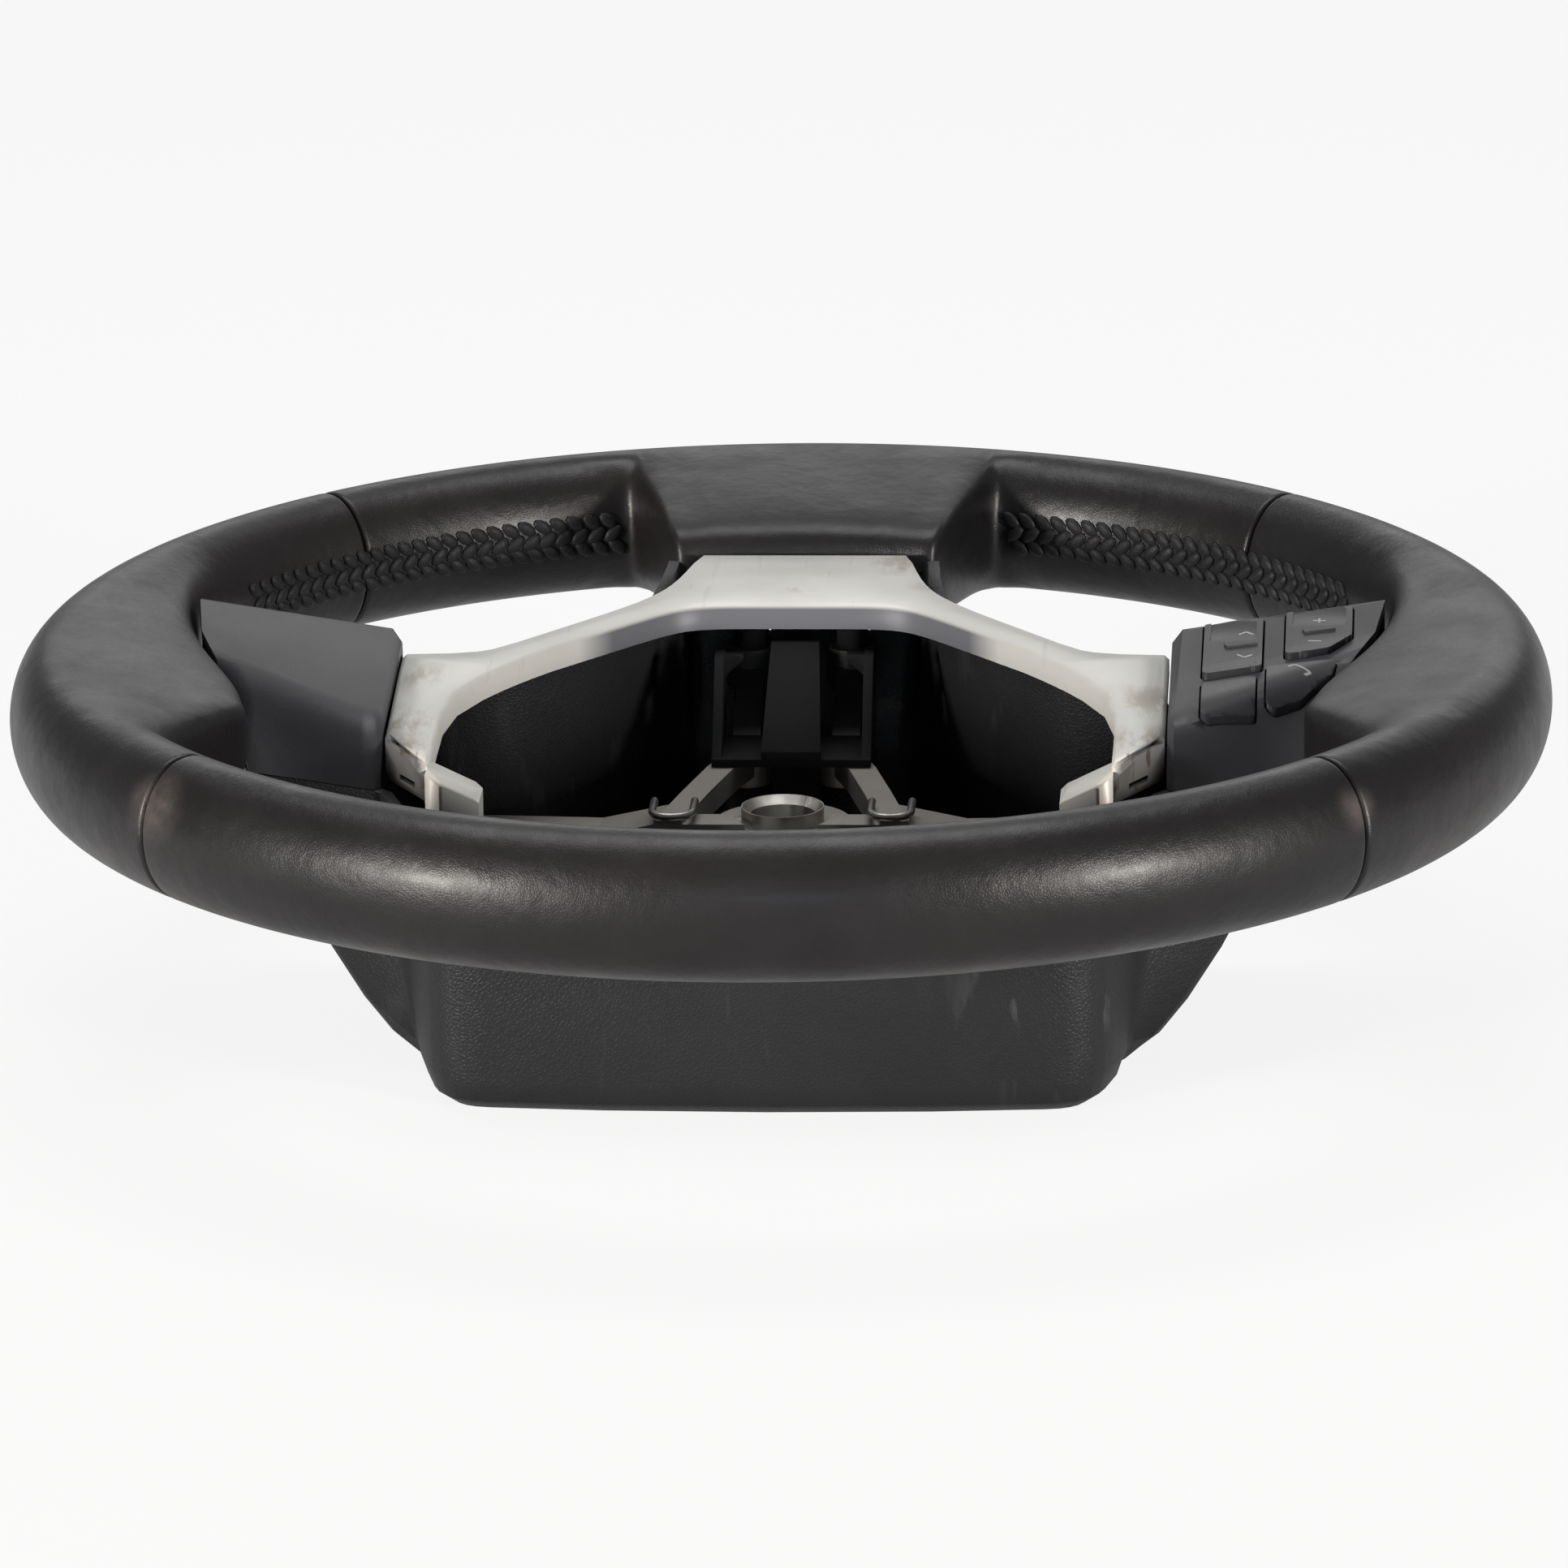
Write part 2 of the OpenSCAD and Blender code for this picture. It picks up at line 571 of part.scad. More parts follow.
// Rockers turn on pins under their middles, along the spoke
seek_axis = [111.2, -15, 2.4];
volume_axis = [132.4, -26, 3.2];
rocker_reach = 7.8;
dish_r = 40;
dish_depth = 0.9;
dish_edge = 1.6;
pin_reach = 1.6;
module rocker(points, y_far, y_near, axis, x0, x1) {
    z = rim_z + axis[2];
    difference() {
        union() {
            key_top(points, y_far, y_near);
            translate([x0 + 0.4, axis[1] - 2, z - 1.6]) cube([x1 - x0 - 0.8, 4, 3.2]);
            for (s = [-1, 1]) plunger([min(axis[0], dome_x), axis[1] + s * rocker_reach * 0.8],
                z, rocker_reach * 0.8 * sin(rocker_swing));
        }
        // Dish on each side, with a bar left standing at the middle
        for (s = [-1, 1]) let (y = axis[1] + s * rocker_reach)
            translate([x0 + dish_edge, y, key_line(y_far, y_near, y) + dish_r - dish_depth])
                rotate([0, 90, 0]) cylinder(r = dish_r, h = x1 - x0 - 2 * dish_edge);
    }
    translate([x0 - pin_reach, axis[1], z]) rotate([0, 90, 0]) cylinder(d = pivot_d, h = x1 - x0 + 2 * pin_reach);
}
module seek_rocker() color([0.15, 0.15, 0.16]) on_left()
    rocker(seek_plan, -33, 1, seek_axis, seek_plan[0][0], seek_plan[1][0]);
module volume_rocker() color([0.15, 0.15, 0.16]) on_left()
    rocker(volume_plan, -41, -11, volume_axis, volume_plan[0][0], volume_plan[1][0]);

// Push keys hang on a flange below the bezel
flange_t = 1.2;
flange_w = 0.7;
flange_back = 12;
push_drop = 3;
module push_key(points, y_far, y_near) {
    z = face_z(y_near) - spoke_wall - push_drop - flange_t;
    key_top(points, y_far, y_near);
    translate([0, 0, z]) linear_extrude(flange_t) intersection() {
        plan(points, key_gap + flange_w);
        translate([0, -flange_back]) plan(points, key_gap + flange_w);
    }
    translate([0, 0, z]) linear_extrude(face_z(y_near) - key_skirt - z + 1) plan(points, 0);
    plunger(mid(points), z + 0.1, key_travel);
}
module mode_button() color([0.15, 0.15, 0.16]) on_left() push_key(mode_plan, 4.5, 28.5);
module phone_button() color([0.15, 0.15, 0.16]) on_left() push_key(phone_plan, -6, 14);

// Housing under the keys: a tray on two screws, with ears for the rockers' pins
tray = [[97.4, -26.5], [134, -38.5], [134, -20], [131, -18.2], [128.5, -17], [128, 15], [112, 24],
    [97.4, 26]];
ear_t = 1.5;
ear_w = 6;
ear_gap = 0.9;
ear_mid = 4;
pin_fit = 0.06;
ear_from = [seek_plan[0][0] - ear_gap - ear_t + 0.4, seek_plan[1][0] + ear_gap, volume_plan[1][0] + ear_gap];
module switch_housing() color([0.1, 0.1, 0.11]) on_left() difference() {
    z = rim_z + switch_base;
    arm_w = 3;
    arm_y = -41;
    union() {
        translate([0, 0, z]) linear_extrude(base_t) polygon(tray);
        ear(ear_from[0], seek_axis, ear_t, z);
        ear(ear_from[1], seek_axis, ear_mid, z);
        ear(ear_from[1], volume_axis, ear_mid, z);
        // Arm that carries the outer ear past the end of the tray
        ear(ear_from[2], volume_axis, ear_t, z + 2);
        translate([tray[1][0] - arm_w, arm_y, z]) cube([arm_w, arm_w + 1, 5]);
        translate([tray[1][0] - arm_w, arm_y, z + 2]) cube([ear_from[2] + ear_t - tray[1][0] + arm_w, arm_w, 3]);
        translate([ear_from[2], arm_y, z + 2]) cube([ear_t, volume_axis[1] + ear_w / 2 - arm_y, 3]);
    }
    for (y = [switch_at[1], switch_at[2]]) translate([switch_at[0], y, z - 1])
        cylinder(d = small_screw_d + 0.4, h = base_t + 2);
    for (p = [[ear_from[0], seek_axis], [ear_from[1], volume_axis]])
        translate([p[0] - 1, p[1][1], rim_z + p[1][2]]) rotate([0, 90, 0])
            cylinder(d = pivot_d + 2 * pin_fit, h = 26);
}
module ear(x, axis, t, z) {
    translate([x, axis[1] - ear_w / 2, z]) cube([t, ear_w, rim_z + axis[2] + 2 - z]);
}

// Circuit board on the tray, and the rubber mat of domes on the board
board = [[104, -27.5], [124, -34], [130, -35.2], [132.4, -35.2], [132.4, -20.6], [130, -18.6],
    [127.6, -17.2], [127.6, 14], [112, 22], [104, 23]];
dome_x = 127.5;
notch_gap = 0.3;
module board_plan(grow) {
    offset(delta = grow) difference() {
        polygon(board);
        for (p = [seek_axis, volume_axis]) translate([ear_from[1] - notch_gap, p[1] - ear_w / 2 - notch_gap])
            square([ear_mid + 2 * notch_gap, ear_w + 2 * notch_gap]);
    }
}
module switch_board() color([0.1, 0.3, 0.16]) on_left()
    translate([0, 0, board_z]) linear_extrude(board_t) board_plan(0);
module switch_mat() color([0.3, 0.3, 0.32]) on_left() {
    z = board_z + board_t;
    translate([0, 0, z]) linear_extrude(mat_t) board_plan(-0.5);
    for (p = [mid(mode_plan), mid(phone_plan)]) translate([p[0], p[1], z])
        cylinder(d1 = 6, d2 = 4, h = mat_t + dome_h);
    for (p = [seek_axis, volume_axis], s = [-1, 1])
        translate([min(p[0], dome_x), p[1] + s * rocker_reach * 0.8, z])
            cylinder(d1 = 4.6, d2 = 3.6, h = mat_t + dome_h);
}

// Rear cover: one deep tub, from a flat back up to the spoke covers and the trim
// Half outlines from 12 o'clock to 6 o'clock, at the back and at the upper edge
cover_edge = 5;
lobe_power = 0.65;
late_power = 1.6;
back_low = -74;
cover_top = rim_z + cover_split - fit;
front_top = 38;
bridge_gap = 0.3;
function tip_at(y) = [tip_x(y), y];
function trim_seat(y) = trim_z(y) - trim_skirt - bridge_gap;
step_x = spoke_x - trim_gap - cover_wall;
// Horns of the lower lobe, which stand beside the trim's bridge up to its face
horn_top = trim_z(-bridge_y) - 0.3;
lobe_y = bridge_y + 1;
cover_outline = [
    [[0, front_y], [0, front_y + 0.5], front_top, 0],
    [[back_x - 42, front_y - 1], [back_x - 34, front_y - 0.5], front_top, 0],
    [[back_x - 2, front_y - 4], [back_x - 2, front_y - 4], front_top, 22],
    [[back_x + 3.2, 58], [back_x + 8, 61], cover_top, 2],
    [[back_x + 1, 52], [spoke_x, low_y[0]], cover_top, 2],
    [[back_x, 46], [tip_at(low_y[1])[0], low_y[1]], cover_top, 2],
    [[back_x, 4], tip_at(6), cover_top, 8],
    [[back_x - 0.5, -10], tip_at(-14), cover_top, 8],
    [[back_x - 1, -22], tip_at(-34), cover_top, 8],
    [[back_x - 1.5, -32], tip_at(far_y[1] - 1.5), cover_top, 2.5],
    [[back_x - 4, -40], [step_x, far_y[0] - 1.6], cover_top, 1.5],
    [[back_x - 8, -47], [step_x - 2.2, -arm_low_y - 1], trim_seat(-arm_low_y), 1.5],
    [[back_x - 16, -56], [69.5, -arm_low_y - 8], trim_seat(-28), 3],
    [[60, -62], [54, -45], trim_seat(-45), 3],
    [[50, -67], [bridge_x + 9.8, -73], trim_seat(-73), 2.5],
    [[42, -70], [bridge_x + 12, -80], trim_seat(-80), 2.5],
    [[34, -73], [bridge_x + 8.6, -92], horn_top - 1, 2.5],
    [[28, back_low], [bridge_x + 7.4, -lobe_y + 3.2], horn_top, 2.5],
    [[20, back_low - 0.5], [bridge_x + 3, -lobe_y], trim_seat(-110), 2.5],
    [[0, back_low - 1], [0, -lobe_y], trim_seat(-110), 0]];

// Control polygon at a level, its corners rounded, each point with its own upper height
function control(t) = [for (c = cover_outline) [mix(c[0][0], c[1][0], pow(t, lobe_power)),
    mix(c[0][1], c[1][1], pow(t, c[1][1] > 0 ? late_power : lobe_power)), c[2], c[3]]];
function corner(a, b, c, k) = let (r = min(b[3], 0.48 * min(norm(xy(a - b)), norm(xy(c - b)))),
    u = (a - b) / norm(xy(a - b)), v = (c - b) / norm(xy(c - b)))
    r == 0 ? [[b[0], b[1], b[2]]] : [for (i = [0:k]) let (t = i / k)
        xyz(pow(1 - t, 2) * (b + r * u) + 2 * t * (1 - t) * b + t * t * (b + r * v))];
function bend_steps(r) = r > 20 ? 5 : r > 10 ? 3 : 1;
function xy(p) = [p[0], p[1]];
function xyz(p) = [p[0], p[1], p[2]];
function half_outline(t) = let (c = control(t), n = len(c)) [for (i = [0:n - 1])
    each corner(c[max(0, i - 1)], c[i], c[min(n - 1, i + 1)], bend_steps(c[i][3]))];
function whole(h) = concat(h, [for (i = [len(h) - 2:-1:1]) [-h[i][0], h[i][1], h[i][2]]]);
function inset(loop, d) = let (n = len(loop)) [for (i = [0:n - 1])
    let (a = loop[(i + n - 1) % n], b = loop[i], c = loop[(i + 1) % n],
        u = xy(b - a) / norm(xy(b - a)), v = xy(c - b) / norm(xy(c - b)),
        m = (u + v) / norm(u + v), s = d / max(0.6, m * u))
        [b[0] + m[1] * s, b[1] - m[0] * s, b[2]]];
cover_levels = [0, 0.04, 0.12, 0.24, 0.42, 0.68, 1];
function cover_loop(i, off) = let (t = cover_levels[i], base = -cover_drop + off,
    e = max(0, 1 - t / cover_levels[2]), in_d = off + (cover_edge - off) * (1 - sqrt(1 - e * e)),
    o = inset(whole(half_outline(t)), in_d))
    [for (p = o) [p[0], p[1], mix(base, p[2], t)]];
module cover_shell() {
    n = len(cover_loop(0, 0));
    k = len(cover_levels);
    outer = [for (i = [0:k - 1]) cover_loop(i, 0)];
    inner = [for (i = [0:k - 1]) cover_loop(i, cover_wall)];
    pts = concat([for (l = outer) each l], [for (l = inner) each l],
        [[0, 0, -cover_drop], [0, 0, -cover_drop + cover_wall]]);
    polyhedron(pts, concat(wall_faces(k, n, 0, false), wall_faces(k, n, k * n, true),
        end_faces((k - 1) * n, (2 * k - 1) * n, n, false),
        fan_faces(2 * k * n, 0, n, true), fan_faces(2 * k * n + 1, k * n, n, false)));
}
cover_boss_d = 13;
head_d = 9;
head_h = 3;
seat_t = 3;
cover_screw_at = concat(pad_at, [[post_x, post_y + post_d / 2, post_z]]);
module rear_cover() color([0.16, 0.16, 0.175]) difference() {
    union() {
        cover_shell();
        for (m = [0, 1], p = cover_screw_at) mirror([m, 0, 0])
            translate([p[0], p[1], 1 - cover_drop]) cylinder(d = cover_boss_d, h = p[2] - fit + cover_drop - 1);
        translate([0, 0, 1 - cover_drop]) cylinder(r = column_r + cover_wall, h = column_lip + cover_wall - 1);
    }
    translate([0, 0, -cover_drop - 1]) cylinder(r = column_r, h = column_lip + cover_wall + 2);
    leather_slot();
    for (m = [0, 1], p = cover_screw_at) mirror([m, 0, 0]) translate([p[0], p[1], -cover_drop - 1]) {
        cylinder(d = screw_d + 0.6, h = rim_z);
        cylinder(d = head_d + 0.8, h = p[2] - seat_t + cover_drop + 1);
    }
}

// Screws: pan heads with a cross recess cut in
module screw(d, grip, hd, hh) {
    difference() {
        translate([0, 0, -hh]) cylinder(d = hd, h = hh);
        for (a = [0, 90]) rotate([0, 0, a]) translate([-hd / 4, -hd / 18, -hh - 1]) cube([hd / 2, hd / 9, 1 + hh / 2]);
    }
    cylinder(d = d, h = grip);
}
cover_grip = 11;
module cover_screws() color([0.3, 0.3, 0.31])
    for (m = [0, 1], p = cover_screw_at) mirror([m, 0, 0]) translate([p[0], p[1], p[2] - seat_t - fit])
        screw((p[2] == post_z ? screw_d - 1 : screw_d) - 2 * fit, cover_grip, head_d, head_h);
module trim_screws() color([0.3, 0.3, 0.31])
    for (m = [0, 1]) mirror([m, 0, 0]) translate([trim_boss_at[0], trim_boss_at[1], arm_slope_z - trim_pad - fit])
        screw(screw_d - 1, arm_t + 2 * trim_pad + 9, head_d, head_h);
module switch_screws() color([0.3, 0.3, 0.31]) on_left()
    for (y = [switch_at[1], switch_at[2]]) translate([switch_at[0], y, rim_z + switch_base - fit])
        screw(small_screw_d - 0.5, 8, 4.6, 1.8);

// Bracket clipped over the wishbone under the bridge: sloping rib, side towers and snap hooks
bracket_y = [-66, -60, -38];
bracket_z = [arm_z + arm_t + 0.2, 48];
bracket_floor = 2;
rib_w = [12, 15];
rib_edge = [9, 4];
tower_x = 20;
tower_t = 2.4;
tower_window = [6, 8];
hook = [4.6, 4, 5.5, 3];
clip = [1.8, 4, 1.4];
clip_x = pad_at[1][0] + pad_d / 2 + arm_fit / 2;
module spoke_bracket() color([0.2, 0.2, 0.21]) {
    z = bracket_z[0];
    top = bracket_z[1];
    // Floor over both arms
    translate([-tower_x, bracket_y[1], z]) cube([2 * tower_x, bracket_y[2] - bracket_y[1], bracket_floor]);
    // Rib that slopes down from the bridge to the floor and grows wider on its way
    intersection() {
        translate([rib_w[1] / 2, 0, 0]) rotate([0, -90, 0]) linear_extrude(rib_w[1])
            polygon([[z, bracket_y[2]], [z, bracket_y[1]], [top - rib_edge[0], bracket_y[0]],
                [top, bracket_y[0]], [top, bracket_y[0] + bracket_floor], [z + rib_edge[1], bracket_y[2]]]);
        linear_extrude(rim_z) polygon([[-rib_w[0] / 2, bracket_y[0]], [rib_w[0] / 2, bracket_y[0]],
            [rib_w[1] / 2, bracket_y[2]], [-rib_w[1] / 2, bracket_y[2]]]);
    }
    for (m = [0, 1]) mirror([m, 0, 0]) {
        difference() {
            translate([tower_x - tower_t, 0, 0]) rotate([90, 0, 90]) linear_extrude(tower_t)
                polygon([[bracket_y[1], z], [bracket_y[2], z], [bracket_y[2] - 8, z + 9],
                    [bracket_y[1] + 3, top - 2], [bracket_y[0] + 2, top - 2], [bracket_y[0] + 2, z + 10]]);
            translate([tower_x - 2 * tower_t, bracket_y[1] + 1, z + tower_window[0]])
                cube([3 * tower_t, tower_window[0], tower_window[1]]);
        }
        // Snap hook under the bridge
        translate([tower_x - tower_t, bracket_y[0] + 2, top - 8]) rotate([90, 0, 180])
            linear_extrude(hook[3]) polygon([[0, 0], [hook[0], hook[1]], [hook[0], hook[2]], [0, hook[2]]]);
        // Clip beside the arm
        translate([clip_x, bracket_y[1] + 2, z - arm_t - clip[2]])
            cube([clip[0], clip[1], arm_t + clip[2] + 0.2]);
    }
}

// Wire springs that hold a centre pad, lying where the wishbone meets the cross bar
spring_d = 2;
spring_r = 5;
spring_leg = 9;
module pad_springs() color([0.6, 0.6, 0.6]) {
    z = arm_z + arm_t + spring_d / 2 + 5 * fit;
    for (m = [0, 1]) mirror([m, 0, 0]) translate([fork[0][0] - 1, fork[0][1] - 3, z]) {
        rotate_extrude(angle = 180, $fn = 48) translate([spring_r, 0]) circle(d = spring_d, $fn = 20);
        for (s = [-1, 1]) translate([s * spring_r, 0, 0]) rotate([90, 0, 0])
            cylinder(d = spring_d, h = spring_leg, $fn = 20);
    }
}

armature();
hub_insert();
rim_foam();
leather_top();
leather_right();
leather_left();
leather_bottom();
lacing();
trim();
right_spoke_cover();
switch_bezel();
seek_rocker();
volume_rocker();
mode_button();
phone_button();
switch_housing();
switch_board();
switch_mat();
spoke_bracket();
rear_cover();
cover_screws();
trim_screws();
switch_screws();
pad_springs();
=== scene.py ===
import math

import bmesh
import bpy
from mathutils import Matrix, Vector
from mathutils.bvhtree import BVHTree


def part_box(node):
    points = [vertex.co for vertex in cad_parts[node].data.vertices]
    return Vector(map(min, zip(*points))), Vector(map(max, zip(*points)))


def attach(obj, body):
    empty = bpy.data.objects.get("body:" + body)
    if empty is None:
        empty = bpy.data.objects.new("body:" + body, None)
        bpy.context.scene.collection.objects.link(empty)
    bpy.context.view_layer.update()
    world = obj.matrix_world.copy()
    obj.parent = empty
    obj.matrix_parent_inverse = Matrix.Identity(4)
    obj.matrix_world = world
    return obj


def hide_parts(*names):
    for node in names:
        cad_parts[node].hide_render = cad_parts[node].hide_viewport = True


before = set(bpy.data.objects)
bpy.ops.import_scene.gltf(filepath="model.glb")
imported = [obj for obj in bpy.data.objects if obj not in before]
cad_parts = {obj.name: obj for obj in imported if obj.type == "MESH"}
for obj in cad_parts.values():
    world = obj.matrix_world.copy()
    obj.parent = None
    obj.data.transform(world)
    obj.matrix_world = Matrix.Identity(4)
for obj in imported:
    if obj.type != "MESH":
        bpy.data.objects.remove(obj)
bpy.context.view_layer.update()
mm = 0.001

# View: the wheel lies on its rear cover and is seen from the 12 o'clock side, a little above it.
# The distance and the lens were solved from the rim's outlines in a square picture.
distance = 2.846
elevation = math.radians(16.45)
azimuth = math.radians(-3.4)
lean = math.radians(-0.85)
picture_px = 1932
focal_px = 14176
sensor = 36.0
sideways = -0.44 * mm
aim_z = 29.6 * mm
target = Vector((sideways * math.cos(azimuth), -sideways * math.sin(azimuth), aim_z))

camera_data = bpy.data.cameras.new("camera")
camera_data.lens = sensor * focal_px / picture_px
camera_data.sensor_width = sensor
camera_data.clip_end = 20
camera = bpy.data.objects.new("camera", camera_data)
bpy.context.scene.collection.objects.link(camera)
outward = Vector((math.sin(azimuth) * math.cos(elevation), math.cos(azimuth) * math.cos(elevation),
                  math.sin(elevation)))
side = (-outward).cross(Vector((0, 0, 1))).normalized()
upward = side.cross(-outward)
tilted_side = math.cos(lean) * side + math.sin(lean) * upward
tilted_up = -math.sin(lean) * side + math.cos(lean) * upward
turned = Matrix((tilted_side, tilted_up, outward)).transposed().to_4x4()
camera.matrix_world = Matrix.Translation(target + distance * outward) @ turned
bpy.context.scene.camera = camera
bpy.context.scene.view_settings.view_transform = "Standard"

# Finishes: each one is a Principled shader fed by a few procedural nodes.
# A Wire is one output that can stand in a sum, so masks are written as plain arithmetic.


class Wire:
    def __init__(self, finish, socket):
        self.finish = finish
        self.socket = socket

    def math(self, operation, *values):
        return self.finish.node("ShaderNodeMath", {"operation": operation}, values)

    def __add__(self, other):
        return self.math("ADD", self, other)

    def __radd__(self, other):
        return self.math("ADD", other, self)

    def __sub__(self, other):
        return self.math("SUBTRACT", self, other)

    def __rsub__(self, other):
        return self.math("SUBTRACT", other, self)

    def __mul__(self, other):
        return self.math("MULTIPLY", self, other)

    def __rmul__(self, other):
        return self.math("MULTIPLY", other, self)


class Finish:
    def __init__(self, name, **plain):
        self.material = bpy.data.materials.new(name)
        self.material.use_nodes = True
        self.tree = self.material.node_tree
        self.shader = self.tree.nodes["Principled BSDF"]
        for socket, value in plain.items():
            self.shader.inputs[socket.replace("_", " ")].default_value = value

    def node(self, kind, settings=None, values=(), output=0):
        made = self.tree.nodes.new(kind)
        for name, value in (settings or {}).items():
            if name == "stops":
                ramp = made.color_ramp.elements
                while len(ramp) < len(value):
                    ramp.new(0.5)
                for stop, (place, level) in zip(ramp, value):
                    stop.position = place
                    stop.color = (level, level, level, 1)
            else:
                setattr(made, name, value)
        pairs = values.items() if isinstance(values, dict) else enumerate(values)
        for place, value in pairs:
            socket = made.inputs[place]
            if isinstance(value, Wire):
                self.tree.links.new(value.socket, socket)
            elif value is not None:
                socket.default_value = value
        return Wire(self, made.outputs[output])

    def feed(self, **links):
        for name, wire in links.items():
            self.tree.links.new(wire.socket, self.shader.inputs[name.replace("_", " ")])
        return self.material

    def place(self):
        return self.node("ShaderNodeTexCoord", output=3)

    def noise(self, scale, detail=2.0, rough=0.5, at=None):
        return self.node("ShaderNodeTexNoise", {}, {"Vector": at or self.place(), "Scale": scale,
                                                    "Detail": detail, "Roughness": rough})

    def cells(self, scale, feature="F1", at=None):
        return self.node("ShaderNodeTexVoronoi", {"feature": feature},
                         {"Vector": at or self.place(), "Scale": scale})

    def near(self, centre, radius):
        gap = self.node("ShaderNodeVectorMath", {"operation": "DISTANCE"}, {0: self.place(), 1: centre},
                        output=1)
        return self.node("ShaderNodeMapRange", {"interpolation_type": "SMOOTHSTEP"},
                         {"Value": gap, "From Min": radius, "From Max": 0.0})

    def rise(self, wire, start, end):
        return self.node("ShaderNodeMapRange", {}, {"Value": wire, "From Min": start, "From Max": end})

    def streaks(self, turn, stretch, detail, rough):
        space = self.node("ShaderNodeMapping", {}, {0: self.place(), 2: turn, 3: stretch})
        return self.noise(1.0, detail, rough, space)

    def ramp(self, wire, *stops):
        return self.node("ShaderNodeValToRGB", {"stops": stops}, [wire])

    def mix(self, mask, first, second):
        return self.node("ShaderNodeMix", {"data_type": "RGBA"}, {0: mask, 6: first, 7: second}, output=2)

    def bump(self, height, depth, strength=1.0, under=None):
        return self.node("ShaderNodeBump", {}, {"Height": height, "Distance": depth, "Strength": strength,
                                                "Normal": under})

    def axes(self):
        split = self.tree.nodes.new("ShaderNodeSeparateXYZ")
        self.tree.links.new(self.place().socket, split.inputs[0])
        return [Wire(self, split.outputs[i]) for i in range(3)]


def grey(value):
    return (value, value, value, 1)


def paint(name, material):
    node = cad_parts[name]
    node.data.materials.clear()
    node.data.materials.append(material)


def finished(name, bm, material, body, smooth_angle=40):
    bmesh.ops.remove_doubles(bm, verts=bm.verts, dist=1e-6)
    bmesh.ops.recalc_face_normals(bm, faces=bm.faces)
    mesh = bpy.data.meshes.new(name)
    bm.to_mesh(mesh)
    bm.free()
    mesh.materials.append(material)
    piece = bpy.data.objects.new(name, mesh)
    bpy.context.scene.collection.objects.link(piece)
    mesh.shade_smooth()
    mesh.set_sharp_from_angle(angle=math.radians(smooth_angle))
    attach(piece, body)
    return piece


# Studio: a white floor under the cover's flat back, and a white world behind it.
# A broad overhead lamp, a long low one behind, two softboxes and a thin strip in front light it softly.
floor_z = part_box("rear_cover")[0][2]
floor_seen = 0.86
floor_mirrored = 0.35
world_light = 0.2
world_seen = 1.0
floor_finish = Finish("floor", Roughness=0.9, Specular_IOR_Level=0.1)
floor_finish.shader.inputs["Base Color"].default_value = grey(0.62)
glow = floor_finish.node("ShaderNodeEmission", {}, {"Color": grey(1.0), "Strength": 1.0})
rays = floor_finish.tree.nodes.new("ShaderNodeLightPath")
seen = (Wire(floor_finish, rays.outputs["Is Camera Ray"]) * floor_seen
        + Wire(floor_finish, rays.outputs["Is Glossy Ray"]) * floor_mirrored)
cover_up = floor_finish.node("ShaderNodeMixShader", {}, {0: seen})
floor_finish.tree.links.new(floor_finish.shader.outputs[0], cover_up.socket.node.inputs[1])
floor_finish.tree.links.new(glow.socket, cover_up.socket.node.inputs[2])
surface = floor_finish.tree.nodes["Material Output"].inputs["Surface"]
floor_finish.tree.links.new(cover_up.socket, surface)

bm = bmesh.new()
bmesh.ops.create_grid(bm, x_segments=1, y_segments=1, size=6)
bmesh.ops.translate(bm, verts=bm.verts, vec=(0, 0, floor_z))
floor_mesh = bpy.data.meshes.new("floor")
bm.to_mesh(floor_mesh)
bm.free()
floor = bpy.data.objects.new("floor", floor_mesh)
floor_mesh.materials.append(floor_finish.material)
bpy.context.scene.collection.objects.link(floor)

world = bpy.data.worlds.new("world")
world.use_nodes = True
bpy.context.scene.world = world
world_nodes = world.node_tree.nodes
world_links = world.node_tree.links
background = world_nodes["Background"]
path = world_nodes.new("ShaderNodeLightPath")
either = world_nodes.new("ShaderNodeMath")
either.operation = "MAXIMUM"
world_links.new(path.outputs["Is Camera Ray"], either.inputs[0])
world_links.new(path.outputs["Is Transmission Ray"], either.inputs[1])
level = world_nodes.new("ShaderNodeMapRange")
level.inputs["To Min"].default_value = world_light
level.inputs["To Max"].default_value = world_seen
world_links.new(either.outputs[0], level.inputs["Value"])
background.inputs["Color"].default_value = grey(1.0)
world_links.new(level.outputs["Result"], background.inputs["Strength"])


def lamp(name, place, size, power, aim=(0, 0, 0.04), tint=(1, 1, 1)):
    data = bpy.data.lights.new(name, "AREA")
    data.color = tint
    data.shape = "RECTANGLE"
    data.size, data.size_y = size
    data.energy = power
    light = bpy.data.objects.new(name, data)
    bpy.context.scene.collection.objects.link(light)
    away = (Vector(place) - Vector(aim)).normalized()
    light.rotation_euler = away.to_track_quat("Z", "Y").to_euler()
    light.location = place


lamp("overhead", (0.1, -0.45, 1.6), (1.4, 0.8), 15)
lamp("back_window", (0, -2.6, 1.05), (2.8, 0.8), 11)
warm_light = (1.0, 0.95, 0.9)
cold_light = (0.72, 0.84, 1.0)
lamp("left_softbox", (1.43, 1.34, 0.38), (0.32, 0.22), 44, tint=warm_light)
lamp("right_softbox", (-1.55, 1.2, 0.38), (0.32, 0.22), 35, tint=warm_light)
lamp("front_strip", (-0.1, 3.3, 0.78), (0.9, 0.05), 8, tint=cold_light)

